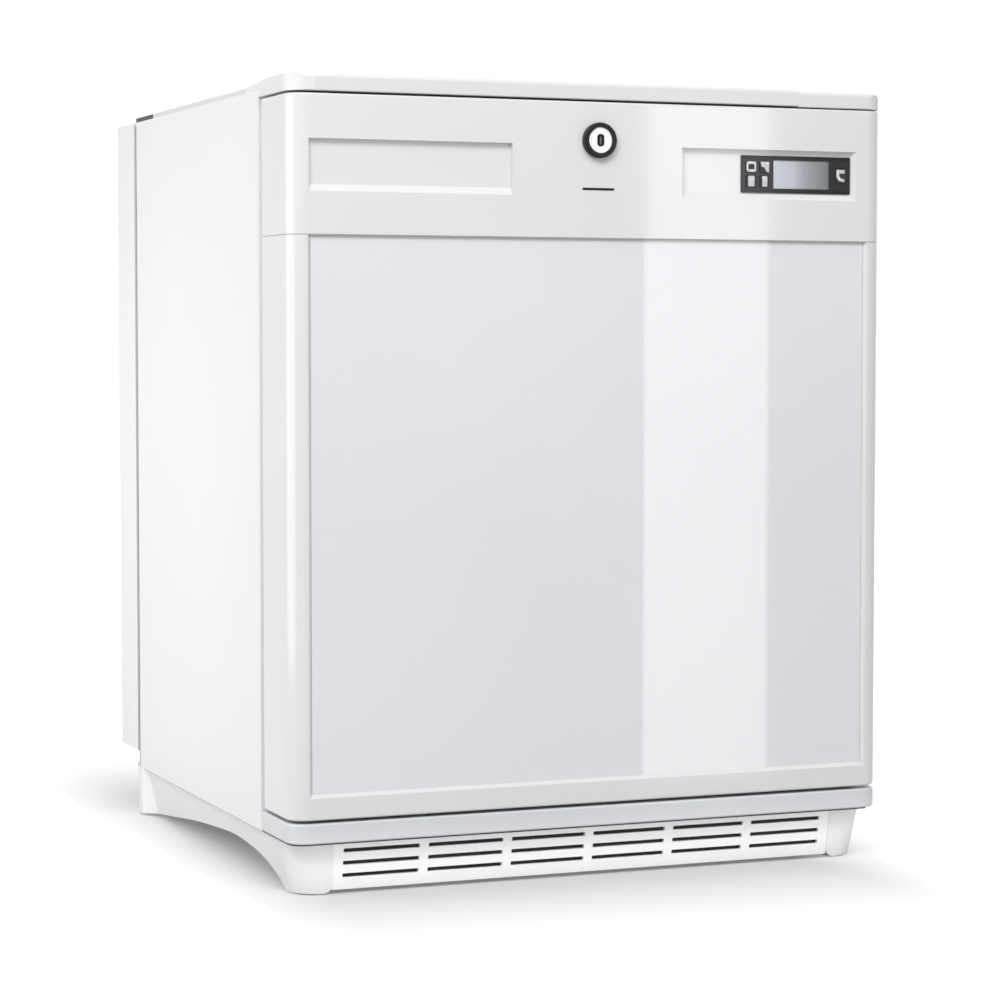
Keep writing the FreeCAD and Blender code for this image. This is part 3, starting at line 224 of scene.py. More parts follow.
# %% [markdown]
# ## Lamps
# One large lamp could light everything, but evenly lit white has no form, so several soft boxes share the
# work. Two hang high, in front and at the front left, so the door is lighter at the top and on the left. A
# small one close to the door's top edge adds to that. One stands near the side wall at half height, and
# leaves its top and foot a little darker. A wide box far on the left is only there to be mirrored in the
# rounded left edge of the door, where the picture has a bright line from top to bottom. A low strip with a
# narrow beam reaches the plinth, which would otherwise lie in the shade of the trim. The last is the tall
# box whose mirror image is the bright upright band on the glossy door panel. Its place isn't guessed: the
# camera is mirrored in the panel's plane, and the two edges of the band are followed out to the lamp.

# %% Lamps
LAMPS = (  # name, place, aim, width, height, watts
    ("front_box", (-0.3, -1.9, 2.3), (0, -0.2, 0.35), 1.6, 1.0, 17),
    ("left_box", (-1.3, -1.5, 1.6), (0, -0.2, 0.4), 0.8, 0.8, 16),
    ("edge_box", (-0.3, -0.8, 1.25), (-0.05, -0.25, 0.45), 0.7, 0.25, 0.9),
    ("side_box", (-0.8, 0.10, 0.33), (-0.24, 0.10, 0.33), 0.5, 0.2, 1.4),
    ("corner_strip", (-1.37, -0.2, 0.40), (-0.24, -0.2, 0.40), 1.3, 0.72, 7.5),
    ("plinth_strip", (0, -1.0, 0.022), (0, 0, 0.022), 1.2, 0.03, 0.046),
)
STRIP_BEAM = math.radians(4)
PANEL_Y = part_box("decor_panel")[0].y
BAND_LEFT, BAND_RIGHT = 0.039, 0.143
BAND_OUT = 0.46
BAND_TOP = 0.70
BAND_WATTS = 1.0


def soft_box(name, place, aim, width, height, watts):
    lamp = bpy.data.lights.new(name, "AREA")
    lamp.shape = "RECTANGLE"
    lamp.size = width
    lamp.size_y = height
    lamp.energy = watts
    thing = bpy.data.objects.new(name, lamp)
    thing.location = place
    thing.rotation_euler = (Vector(aim) - Vector(place)).to_track_quat("-Z", "Y").to_euler()
    thing.visible_camera = False
    scene.collection.objects.link(thing)
    return thing


def mirrored(x):
    reach = (x - CAMERA_SPOT.x) / (PANEL_Y - CAMERA_SPOT.y)
    return x + reach * BAND_OUT


lamps = {row[0]: soft_box(*row) for row in LAMPS}
lamps["side_box"].visible_glossy = False
lamps["corner_strip"].visible_diffuse = False
lamps["plinth_strip"].data.spread = STRIP_BEAM
band_x = (mirrored(BAND_LEFT), mirrored(BAND_RIGHT))
band_width = band_x[1] - band_x[0]
band_spot = Vector((sum(band_x) / 2, PANEL_Y - BAND_OUT, BAND_TOP / 2))
band = soft_box("band_box", band_spot, band_spot + Vector((0, 1, 0)), band_width, BAND_TOP, BAND_WATTS)
band.visible_diffuse = False
print("band lamp at", [round(v, 3) for v in band_spot], "width", round(band_width, 3))

# %% [markdown]
# ## A recipe for surfaces
# No real surface has one flat colour: moulded plastic drifts a little in tone, paint has the faint waves of
# orange peel, and metal shows the lines of the tool. One recipe makes all of these from two noises: a broad
# one that mixes two tones, and a fine one that varies the gloss and bumps the surface. The noise reads the
# piece's own coordinates, so the grain stays on a piece when it swings, and stretching those coordinates
# turns the same noise into brush lines. An image could do this too, but would have to be unwrapped first.

# %% Surface recipe
TONE_SPLIT = (0.35, 0.65)
TONE_DETAIL, FINE_DETAIL = 3.0, 2.0
BUMP_HEIGHT = 0.0002
WHITE_SWING = 0.008


def ramp_between(tree, places, dark, light):
    ramp = tree.nodes.new("ShaderNodeValToRGB")
    for element, position, tint in zip(ramp.color_ramp.elements, places, (dark, light)):
        element.position = position
        element.color = (*tint, 1)
    return ramp


def surface(name, dark, light, rough, grain, depth, drift=6.0, stretch=(1, 1, 1), **sockets):
    finish = bpy.data.materials.new(name)
    finish.use_nodes = True
    tree = finish.node_tree
    shader = tree.nodes["Principled BSDF"]
    for socket, value in sockets.items():
        shader.inputs[socket.replace("_", " ")].default_value = value
    place = tree.nodes.new("ShaderNodeTexCoord")
    drawn = add(tree, "ShaderNodeMapping", Scale=stretch)
    link(tree, place, "Object", drawn, "Vector")
    tone = add(tree, "ShaderNodeTexNoise", Scale=drift, Detail=TONE_DETAIL)
    link(tree, drawn, 0, tone, "Vector")
    ramp = ramp_between(tree, TONE_SPLIT, dark, light)
    link(tree, tone, 0, ramp, "Fac")
    link(tree, ramp, "Color", shader, "Base Color")
    fine = add(tree, "ShaderNodeTexNoise", Scale=grain, Detail=FINE_DETAIL)
    link(tree, drawn, 0, fine, "Vector")
    level = add(tree, "ShaderNodeMapRange", To_Min=rough[0], To_Max=rough[1])
    link(tree, fine, 0, level, "Value")
    link(tree, level, 0, shader, "Roughness")
    bump = add(tree, "ShaderNodeBump", Strength=depth, Distance=BUMP_HEIGHT)
    link(tree, fine, 0, bump, "Height")
    link(tree, bump, "Normal", shader, "Normal")
    return finish


def grey(level, blue=0.0):
    return (level - blue / 2, level, level + blue)


def white(name, level, rough, grain, depth, drift=5.0, blue=0.008):
    dark, light = grey(level - WHITE_SWING, blue), grey(level + WHITE_SWING, blue)
    return surface(name, dark, light, rough, grain, depth, drift)


print("recipes: surface and white")

# %% [markdown]
# ## Whites
# The picture shows several different whites. The door and its fascia are glossy plastic, the trims a
# slightly greyer moulding with a lighter cap at the left corner, the plinth and its grille a fresh bright
# one, the side walls are painted steel with a soft sheen, and the panel in the door is a cool glossy film.
# The grille is set whiter than the plinth, though both are one moulding: painted light, which lifts the
# grille out of the shade of the trim above it.
# One white could do for all of them, but setting each one's level and gloss apart is what makes a white
# thing on a white ground readable.

# %% White finishes
LEVELS = {
    "door": 0.74, "trim": 0.705, "cap": 0.76, "foot": 0.67, "plinth": 0.82, "grille": 0.94,
    "paint": 0.805, "lid": 0.66, "film": 0.755, "liner": 0.80,
}

door_white = white("door_white", LEVELS["door"], (0.07, 0.12), 420, 0.02)
trim_white = white("trim_white", LEVELS["trim"], (0.42, 0.52), 1600, 0.10)
cap_white = white("cap_white", LEVELS["cap"], (0.42, 0.52), 1600, 0.10)
foot_white = white("foot_white", LEVELS["foot"], (0.20, 0.30), 1600, 0.10, blue=0.02)
# The grille's level is set above the plinth's: painted light, against the shade the trim casts on it.
grille_white_painted_light = white("grille_white_painted_light", LEVELS["grille"], (0.26, 0.36), 1900, 0.14)
plinth_white = white("plinth_white", LEVELS["plinth"], (0.26, 0.36), 1900, 0.14)
wall_paint = white("wall_paint", LEVELS["paint"], (0.26, 0.34), 700, 0.10)
# The lid is the walls' paint set darker: painted shade for a top that the high lamps light more.
shaded_lid_paint = white("shaded_lid_paint", LEVELS["lid"], (0.30, 0.38), 700, 0.10)
film_gloss = white("film_gloss", LEVELS["film"], (0.03, 0.05), 300, 0.01, blue=0.02)
liner_white = white("liner_white", LEVELS["liner"], (0.22, 0.30), 500, 0.06, drift=9.0)
tray_white = white("tray_white", LEVELS["liner"], (0.30, 0.42), 1500, 0.12)
seal_white = surface("seal_rubber", grey(0.66), grey(0.72), (0.45, 0.58), 800, 0.1)
print("white levels:", len(LEVELS))

# %% [markdown]
# ## Metals
# Drawn wire and turned pins show lines along their length, so their noise is stretched. Zinc sheet is known
# by its spangle, the crystal flakes of the coating. Noise would only look cloudy there, so a cell pattern
# gives each flake its own tone and its own gloss. The black tubes of the cooling unit are painted, and the
# paint holds dust where it faces up: the upward part of the surface direction is the mask for that, and a
# colour mix lays the dust over the paint.

# %% Metal finishes
DUST = (0.16, 0.15, 0.14)
DUST_SHARE = 0.6
FACING_UP = (0.35, 1.0)
FLAKES = 130
FLAKE_GLOSS = (0.28, 0.52)
MIX_A, MIX_B, MIX_OUT = 6, 7, 2


def spangle(finish, scale, dark, light):
    tree = finish.node_tree
    shader = tree.nodes["Principled BSDF"]
    place = tree.nodes.new("ShaderNodeTexCoord")
    flakes = add(tree, "ShaderNodeTexVoronoi", Scale=scale)
    link(tree, place, "Object", flakes, "Vector")
    single = tree.nodes.new("ShaderNodeSeparateColor")
    link(tree, flakes, "Color", single, "Color")
    ramp = ramp_between(tree, (0.0, 1.0), dark, light)
    link(tree, single, 0, ramp, "Fac")
    link(tree, ramp, "Color", shader, "Base Color")
    level = add(tree, "ShaderNodeMapRange", To_Min=FLAKE_GLOSS[0], To_Max=FLAKE_GLOSS[1])
    link(tree, single, 1, level, "Value")
    link(tree, level, 0, shader, "Roughness")
    return finish


def tint_where(finish, mask, tint):
    tree = finish.node_tree
    shader = tree.nodes["Principled BSDF"]
    plain = shader.inputs["Base Color"].links[0].from_node
    mix = tree.nodes.new("ShaderNodeMix")
    mix.data_type = "RGBA"
    mix.inputs[MIX_B].default_value = (*tint, 1)
    link(tree, mask, 0, mix, 0)
    link(tree, plain, "Color", mix, MIX_A)
    link(tree, mix, MIX_OUT, shader, "Base Color")
    return finish


# Lays a tint over the faces that look up: real dust on the black tubes, painted shade on the foam.
def dust_and_shade_above(finish, tint, share):
    tree = finish.node_tree
    facing = tree.nodes.new("ShaderNodeNewGeometry")
    parts = tree.nodes.new("ShaderNodeSeparateXYZ")
    link(tree, facing, "Normal", parts, 0)
    mask = add(tree, "ShaderNodeMapRange", From_Min=FACING_UP[0], From_Max=FACING_UP[1], To_Max=share)
    link(tree, parts, "Z", mask, "Value")
    return tint_where(finish, mask, tint)


bright_wire = surface("bright_wire", grey(0.58), grey(0.70), (0.16, 0.28), 260, 0.05, 40, (1, 1, 0.2),
                      Metallic=1.0)
plain_steel = surface("plain_steel", grey(0.48, 0.01), grey(0.60, 0.01), (0.24, 0.38), 900, 0.10, 60,
                      (0.15, 1, 1), Metallic=1.0)
zinc_sheet = spangle(surface("zinc_sheet", grey(0.45), grey(0.60), (0.3, 0.5), 160, 0.05, Metallic=1.0),
                     FLAKES, grey(0.42, 0.02), grey(0.66, 0.02))
lock_chrome = surface("lock_chrome", grey(0.74), grey(0.82), (0.14, 0.26), 900, 0.05, Metallic=1.0)
fin_aluminium = surface("fin_aluminium", grey(0.70), grey(0.80), (0.26, 0.40), 700, 0.08, 50, (0.12, 1, 1),
                        Metallic=1.0)
tube_black = dust_and_shade_above(surface("tube_black", grey(0.018), grey(0.032), (0.30, 0.46), 700, 0.15),
                           DUST, DUST_SHARE)
print("metals: wire, steel, zinc, chrome, aluminium, black paint")

# %% [markdown]
# ## Dark plastics, rubber and foam
# Small dark parts look like holes if they are plain black. Each gets a tone with a little life in it, a
# fine moulded grain and its own gloss: the controller's frame is smooth, the keys are soft to the touch,
# the feet are matt rubber. The insulating foam mostly shows where the cabinet is taken apart, and its cells
# are a coarse bump. Where it faces up it is near black: painted shade, so that the slots of the air outlet
# show a dark hollow.

# %% Dark and soft finishes
# Near black on the foam's upper faces: painted shade, seen through the slots of the air outlet.
FOAM_TOP_SHADE = (0.012, 0.012, 0.013)
FOAM_TOP_SHADE_SHARE = 1.0

black_moulding = surface("black_moulding", grey(0.016), grey(0.028), (0.42, 0.55), 1400, 0.2)
bezel_dark = surface("bezel_dark", (0.018, 0.015, 0.018), (0.026, 0.022, 0.026), (0.16, 0.24), 900, 0.04,
                     Specular_IOR_Level=0.25)
rim_dark = surface("rim_dark", grey(0.006), grey(0.011), (0.22, 0.32), 900, 0.04, Specular_IOR_Level=0.2)
# Near black: painted shade inside the keyhole.
keyway_painted_shade = surface("keyway_painted_shade", grey(0.004), grey(0.008), (0.5, 0.6), 1400, 0.1,
                       Specular_IOR_Level=0.15)
key_soft = surface("key_soft", (0.022, 0.020, 0.024), (0.030, 0.027, 0.031), (0.40, 0.55), 1800, 0.12,
                   Specular_IOR_Level=0.25)
mark_white = surface("mark_white", grey(0.52, 0.02), grey(0.70, 0.02), (0.35, 0.5), 1200, 0.1, 300)
board_mask = surface("board_mask", (0.01, 0.10, 0.05), (0.02, 0.16, 0.08), (0.25, 0.40), 300, 0.2, 220)
foam_cells = surface("foam_cells", (0.62, 0.55, 0.33), (0.78, 0.70, 0.46), (0.80, 0.95), 420, 0.8, 90)
dust_and_shade_above(foam_cells, FOAM_TOP_SHADE, FOAM_TOP_SHADE_SHARE)
foot_rubber = surface("foot_rubber", grey(0.30), grey(0.36), (0.60, 0.78), 900, 0.3)
rack_clear = surface("rack_clear", (0.90, 0.94, 0.96), (0.95, 0.97, 0.98), (0.04, 0.09), 200, 0.02,
                     Transmission_Weight=0.9, IOR=1.49)
print("dark and soft finishes: plastics, key marks, board, foam, rubber, clear racks")

# %% [markdown]
# ## The screen
# The switched-off screen is a grey filter with very fine upright lines. It is lighter at its left end and
# darker to the right: a painted reflection of the room's light in the colour. An image could hold all that,
# but two patterns stay sharp from near by: the tone follows the place along the screen's own width, and a
# wave draws the lines. The frame round it gets darker towards its upper and lower edge, by the same means:
# painted shade along those edges.

# %% Screen finish
# Tones along the screen's width: a painted reflection, lighter at the left end.
SCREEN_REFLECTION_TONES = ((0.0, 0.60), (0.35, 0.54), (0.55, 0.37), (1.0, 0.17))
SCREEN_BLUE = 0.09
SCREEN_LINES = 900
LINE_WAVER = 0.6
LINE_SHADE = 0.86
EDGE_BAND = 0.004
EDGE_SHADE_TONE = (0.004, 0.003, 0.004)


def own_place(tree):
    place = tree.nodes.new("ShaderNodeTexCoord")
    parts = tree.nodes.new("ShaderNodeSeparateXYZ")
    link(tree, place, "Object", parts, 0)
    return place, parts


def screen_with_painted_reflection(name):
    finish = surface(name, grey(0.3), grey(0.4), (0.18, 0.26), 700, 0.02)
    tree = finish.node_tree
    shader = tree.nodes["Principled BSDF"]
    low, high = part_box("screen")
    place, parts = own_place(tree)
    along = add(tree, "ShaderNodeMapRange", From_Min=low.x, From_Max=high.x)
    link(tree, parts, "X", along, "Value")
    ramp = tree.nodes.new("ShaderNodeValToRGB")
    while len(ramp.color_ramp.elements) < len(SCREEN_REFLECTION_TONES):
        ramp.color_ramp.elements.new(0.5)
    for element, (position, level) in zip(ramp.color_ramp.elements, SCREEN_REFLECTION_TONES):
        element.position = position
        element.color = (*grey(level, SCREEN_BLUE * level), 1)
    link(tree, along, 0, ramp, "Fac")
    lines = add(tree, "ShaderNodeTexWave", Scale=SCREEN_LINES, Distortion=LINE_WAVER)
    link(tree, place, "Object", lines, "Vector")
    shade = ramp_between(tree, (0.0, 1.0), grey(LINE_SHADE), grey(1.0))
    link(tree, lines, "Fac", shade, "Fac")
    both = tree.nodes.new("ShaderNodeMix")
    both.data_type = "RGBA"
    both.blend_type = "MULTIPLY"
    both.inputs[0].default_value = 1.0
    link(tree, ramp, "Color", both, MIX_A)
    link(tree, shade, "Color", both, MIX_B)
    link(tree, both, MIX_OUT, shader, "Base Color")
    return finish


# Paints shade into a piece's colour: a darker band along its upper and lower edge.
def edge_shade(finish, node):
    tree = finish.node_tree
    low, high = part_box(node)
    half = (high.z - low.z) / 2
    parts = own_place(tree)[1]
    centred = operate(tree, NUMBER, "SUBTRACT", (low.z + high.z) / 2)
    link(tree, parts, "Z", centred, 0)
    folded = operate(tree, NUMBER, "ABSOLUTE")
    link(tree, centred, 0, folded, 0)
    mask = add(tree, "ShaderNodeMapRange", From_Min=half - EDGE_BAND, From_Max=half)
    link(tree, folded, 0, mask, "Value")
    tint_where(finish, mask, EDGE_SHADE_TONE)


edge_shade(bezel_dark, "controller_bezel")
screen_glass = screen_with_painted_reflection("screen_glass")
print("screen tones:", len(SCREEN_REFLECTION_TONES))

# %% [markdown]
# ## Which finish goes where
# The record names a material slot for every solid, which is enough for most of them. A few solids share a
# slot but differ in the picture, so they are named one by one after that.

# %% Put the finishes on
by_slot = {
    "white_plastic": trim_white, "white_paint": wall_paint, "white_gloss": film_gloss,
    "liner_white": liner_white, "clear_plastic": rack_clear, "black_plastic": black_moulding,
    "dark_bezel": bezel_dark, "screen_grey": screen_glass, "key_grey": key_soft, "board_green": board_mask,
    "foam": foam_cells, "grey_rubber": foot_rubber, "seal_white": seal_white, "steel": plain_steel,
    "galvanised": zinc_sheet, "chrome_lock": lock_chrome, "aluminium": fin_aluminium,
    "black_paint": tube_black,
}
by_node = {
    "door_shell": door_white, "door_fascia": door_white, "plinth": plinth_white,
    "plinth_grille": grille_white_painted_light, "bottom_trim": foot_white, "drip_tray": tray_white,
    "sensor_probe": tray_white, "shelf_upper": bright_wire, "shelf_lower": bright_wire,
    "lock_housing": rim_dark, "corner_cap": cap_white, "top_lid": shaded_lid_paint,
}
for subpart in record["subparts"]:
    name = subpart["node"]
    solid = nodes[name]
    solid.data.materials.clear()
    solid.data.materials.append(by_node.get(name, by_slot[subpart["material_slot"]]))
print("finished solids:", len(record["subparts"]))

# %% [markdown]
# ## Tools for small pieces
# Every small piece is a skin stretched over rings of points: a mark is two outlines and a cap, a seal is
# its section carried round the door, a screw is circles of changing size. One helper joins the rings,
# another turns the result into an object that rides on the right body. Solids could be cut from each other
# instead, but rings give clean quads and keep every edge where it is wanted.

# %% Helpers for pieces
MM = 0.001
QUARTER = math.radians(90)


def skin(shape, rings, closed=False):
    rows = [[shape.verts.new(point) for point in ring] for ring in rings]
    pairs = list(zip(rows, rows[1:]))
    if closed:
        pairs.append((rows[-1], rows[0]))
    for low, high in pairs:
        for i in range(len(low)):
            j = (i + 1) % len(low)
            shape.faces.new((low[i], low[j], high[j], high[i]))
    if not closed:
        shape.faces.new(rows[0][::-1])
        shape.faces.new(rows[-1])
    return shape


def piece(name, shape, body, finish, sharp=35):
    bmesh.ops.recalc_face_normals(shape, faces=shape.faces)
    mesh = bpy.data.meshes.new(name)
    shape.to_mesh(mesh)
    shape.free()
    mesh.materials.append(finish)
    mesh.shade_smooth()
    mesh.set_sharp_from_angle(angle=math.radians(sharp))
    thing = bpy.data.objects.new(name, mesh)
    scene.collection.objects.link(thing)
    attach(thing, body)
    return thing


def rounded(width, height, radius, steps=5):
    points = []
    for corner, (right, up) in enumerate(((1, 1), (-1, 1), (-1, -1), (1, -1))):
        for step in range(steps + 1):
            turn = QUARTER * (corner + step / steps)
            points.append((right * (width / 2 - radius) + radius * math.cos(turn),
                           up * (height / 2 - radius) + radius * math.sin(turn)))
    return points


def circle(radius, count):
    turns = [math.tau * i / count for i in range(count)]
    return [(radius * math.cos(turn), radius * math.sin(turn)) for turn in turns]


def in_mm(points):
    return [(u * MM, v * MM) for u, v in points]


def upright(outline, centre, y, scale=1.0):
    return [(centre.x + u * scale, y, centre.z + v * scale) for u, v in outline]


def middle(box):
    return (box[0] + box[1]) / 2


print("helpers ready")

# %% [markdown]
# ## Marks on the keys
# The five keys of the controller carry pale plain marks: a ring, an arrow head, two bars and a half ring.
# They could be painted on by a mask in the keys' material. Here each is a thin raised plate with a small
# bevel, so that it catches light like moulded print, and it rides on its own key.

# %% Key marks
MARK_PROUD = 0.12 * MM
MARK_SINK = 0.10 * MM
MARK_SCALE = 1.08
MARK_BEVEL = 0.96
RING = (rounded(7.8 * MM, 7.4 * MM, 1.8 * MM), rounded(4.6 * MM, 3.8 * MM, 0.8 * MM))
ARROW = in_mm(((-3.4, 3.6), (3.4, 3.6), (3.4, -3.6), (1.6, -3.6), (-0.4, -0.4), (-2.4, 0.2)))
BAR = rounded(5.0 * MM, 7.4 * MM, 0.5 * MM)
SLIM_BAR = rounded(4.0 * MM, 7.4 * MM, 0.5 * MM)
HALF_RING = in_mm(((3.2, 4.2), (-3.4, 4.2), (-3.4, -0.6), (-1.6, -3.4), (2.6, -4.4), (3.2, -2.6),
                   (-0.2, -1.8), (-1.4, 0.4), (-1.4, 1.8), (3.2, 1.8)))
MARKS = (RING, (ARROW,), (BAR,), (SLIM_BAR,), (HALF_RING,))


def key_mark(number, outline, hole=None):
    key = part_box("key_%d" % number)
    centre, face = middle(key), key[0].y
    front, back = face - MARK_PROUD, face + MARK_SINK
    rings = [upright(outline, centre, back, MARK_SCALE)]
    rings.append(upright(outline, centre, front + MARK_PROUD / 3, MARK_SCALE))
    rings.append(upright(outline, centre, front, MARK_SCALE * MARK_BEVEL))
    if hole:
        rings += [upright(hole, centre, front, MARK_SCALE), upright(hole, centre, back, MARK_SCALE)]
    shape = skin(bmesh.new(), rings, closed=bool(hole))
    return piece("key_mark_%d" % number, shape, "body_key_%d" % number, mark_white)


for number, outlines in enumerate(MARKS, 1):
    key_mark(number, *outlines)
print("key marks:", len(MARKS))

# %% [markdown]
# ## The bar in the fascia
# Below the lock the fascia has a short groove with a plain dark bar in it. The groove's floor could simply
# be coloured, but a bar with round ends, a little below the surface, keeps a fine shadow round its edge.

# %% Fascia bar
BAR_LENGTH = 25.4 * MM
BAR_HEIGHT = 1.6 * MM
BAR_UP = 36.0 * MM
BAR_DEEP = 1.2 * MM
BAR_SUNK = 0.25 * MM
BAR_ROUND, BAR_TOP_ROUND = 0.45, 0.4

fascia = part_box("door_fascia")
bar_spot = Vector((0, 0, fascia[0].z + BAR_UP))
bar_foot = rounded(BAR_LENGTH, BAR_HEIGHT, BAR_HEIGHT * BAR_ROUND)
bar_top = rounded(BAR_LENGTH - BAR_SUNK, BAR_HEIGHT - BAR_SUNK, BAR_HEIGHT * BAR_TOP_ROUND)
bar_rings = [upright(bar_foot, bar_spot, fascia[0].y + BAR_DEEP),
             upright(bar_foot, bar_spot, fascia[0].y + 2 * BAR_SUNK),
             upright(bar_top, bar_spot, fascia[0].y + BAR_SUNK)]
piece("fascia_bar", skin(bmesh.new(), bar_rings), "door", rim_dark)
print("fascia bar at height", round(bar_spot.z, 3))

# %% [markdown]
# ## Lock face
# The turning face of the lock is a bright disc with the fine rings that a lathe leaves, round a dark keyway.
# The keyway is a near-black plate round the key slot: painted shade for the hollow inside the keyhole.
# The rings could be a bump in the material, but real ridges also show at the disc's edge. They run from the
# keyway's outline out to the circle of the rim, so each one is a mix of the two shapes. The disc and the
# keyway plate ride on the lock, and turn with the key.

# %% Lock face
FACE_R = 9.3 * MM
FACE_PROUD = 0.40 * MM
FACE_LIFT = 0.02 * MM
FACE_EDGE = 0.15 * MM
FACE_SHARP = 20
HOLE_EDGE = 0.12 * MM
PLATE_PROUD = 0.2 * MM
KEYWAY = (5.8 * MM, 9.4 * MM)
KEY_SLOT = (1.5 * MM, 7.4 * MM)
KEYWAY_ROUND, SLOT_ROUND = 0.42, 0.3
HOLE_STEPS = 14
LATHE_RINGS = 28
RIDGE = 0.035 * MM

lock_joint = next(joint for joint in record["behaviour"]["joints"] if joint["name"] == "lock_turn")
lock_axis = Vector(lock_joint["pos_m"])
barrel_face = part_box("lock_cylinder")[0].y
keyway_outline = rounded(*KEYWAY, KEYWAY[0] * KEYWAY_ROUND, HOLE_STEPS)
slot_outline = rounded(*KEY_SLOT, KEY_SLOT[0] * SLOT_ROUND, HOLE_STEPS)
face_silver = surface("face_silver", grey(0.84), grey(0.90), (0.30, 0.42), 900, 0.05, Metallic=0.25)


def star(outline, share, radius):
    points = []
    for u, v in outline:
        reach = math.hypot(u, v)
        points.append((u + (u / reach * radius - u) * share, v + (v / reach * radius - v) * share))
    return points


def lock_face():
    hole = keyway_outline
    front, back = barrel_face - FACE_PROUD, barrel_face - FACE_LIFT
    rings = [upright(hole, lock_axis, back), upright(hole, lock_axis, front + HOLE_EDGE)]
    for i in range(LATHE_RINGS + 1):
        outline = star(hole, i / LATHE_RINGS, FACE_R - FACE_EDGE)
        rings.append(upright(outline, lock_axis, front + RIDGE * (i % 2)))
    for y in (front + FACE_EDGE, back):
        rings.append(upright(star(hole, 1.0, FACE_R), lock_axis, y))
    shape = skin(bmesh.new(), rings, closed=True)
    return piece("lock_face", shape, "lock", face_silver, FACE_SHARP)


# A near-black plate round the key slot: painted shade for the hollow of the keyhole.
def keyway_shade_plate():
    front, back = barrel_face - PLATE_PROUD, barrel_face - FACE_LIFT
    places = ((keyway_outline, back), (keyway_outline, front), (slot_outline, front), (slot_outline, back))
    rings = [upright(outline, lock_axis, y) for outline, y in places]
    return piece("keyway_shade_plate", skin(bmesh.new(), rings, closed=True), "lock", keyway_painted_shade)


lock_face()
keyway_shade_plate()
print("lock face rings:", LATHE_RINGS)

# %% [markdown]
# ## Door seal
# The solids have the seal as a flat frame. The real one is a soft hollow strip: two thin lips, a bellows
# between them and a dart that snaps into the door. A curve with a bevel object could carry its section round.
# Rings keep the corners cleaner: the section is drawn once, as distances across the strip and out from the
# door, and each of its points becomes one ring round the door opening.

# %% Door seal
SEAL_WIDTH = 18.0 * MM
SEAL_RISE = 2.7 * MM
SEAL_CORNER = 8.0 * MM
SEAL_STEPS = 8
SOFT_EDGE = 50
SEAL_SECTION = in_mm((
    (7.2, -2.3), (10.8, -2.3), (10.4, 0.05), (13.0, 0.05), (13.2, 0.5), (14.6, 0.7), (17.6, 0.5),
    (18.0, 1.4), (17.4, 2.0), (15.0, 1.6), (13.8, 2.5), (12.5, 2.7), (5.5, 2.7), (4.2, 2.5),
    (3.0, 1.6), (0.6, 2.0), (0.0, 1.4), (0.4, 0.5), (3.4, 0.7), (4.8, 0.5), (5.0, 0.05), (7.6, 0.05),
))


def door_seal():
    low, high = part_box("gasket")
    centre = middle((low, high))
    inner_w, inner_h = (high.x - low.x) - 2 * SEAL_WIDTH, (high.z - low.z) - 2 * SEAL_WIDTH
    foot = high.y - SEAL_RISE
    rings = []
    for across, out in SEAL_SECTION:
        outline = rounded(inner_w + 2 * across, inner_h + 2 * across, SEAL_CORNER + across, SEAL_STEPS)
        rings.append(upright(outline, centre, foot + out))
    shape = skin(bmesh.new(), rings, closed=True)
    seal = piece("door_seal", shape, "door", seal_white, SOFT_EDGE)
    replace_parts(seal, "gasket")
    return seal


door_seal()
print("seal section points:", len(SEAL_SECTION))

# %% [markdown]
# ## Screws
# A screw is known by its domed head and the cross that the driver fits. The cross could be cut out with a
# boolean, but one stack of rings makes the whole screw: a small cross at the bottom of the recess, the same
# cross at the top, then circles over the dome and down the shank. Where each screw stands is read from the
# loose parts of the solid that it takes the place of.

# %% Screws
HEAD_R = 3.8 * MM
HEAD_H = 1.6 * MM
SHANK_R = 2.0 * MM
CROSS_ARM = 2.0 * MM
CROSS_HALF = 0.55 * MM
CROSS_DEEP = 1.0 * MM
CROSS_LIP = 0.05 * MM
CROSS_FOOT = 0.7
DOME = ((0.62, 0.10), (0.80, 0.30), (0.93, 0.60), (1.0, 1.05), (1.0, 1.60))
TIP_LENGTH = 0.6 * MM
TIP_SHARE = 0.5
SCREW_SIDES = 48
WELD = 0.01 * MM


def loose_parts(node):
    mesh = bmesh.new()
    mesh.from_mesh(nodes[node].data)
    bmesh.ops.remove_doubles(mesh, verts=mesh.verts, dist=WELD)
    left = set(mesh.verts)
    parts = []
    while left:
        first = min(left, key=lambda vert: tuple(vert.co))
        group, edge = {first}, [first]
        while edge:
            vert = edge.pop()
            for line in vert.link_edges:
                other = line.other_vert(vert)
                if other not in group:
                    group.add(other)
                    edge.append(other)
        left -= group
        parts.append([vert.co.copy() for vert in group])
    mesh.free()
    return parts


def cross(arm, half):
    points = []
    for i in range(SCREW_SIDES):
        turn = math.tau * i / SCREW_SIDES
        side = (turn + math.tau / 8) % (math.tau / 4) - math.tau / 8
        reach = arm / math.cos(side)
        if abs(math.tan(side)) * arm > half:
            reach = half / abs(math.sin(side))
        points.append((reach * math.cos(turn), reach * math.sin(turn)))
    return points


def box_of(points):
    axes = list(zip(*points))
    return Vector([min(axis) for axis in axes]), Vector([max(axis) for axis in axes])


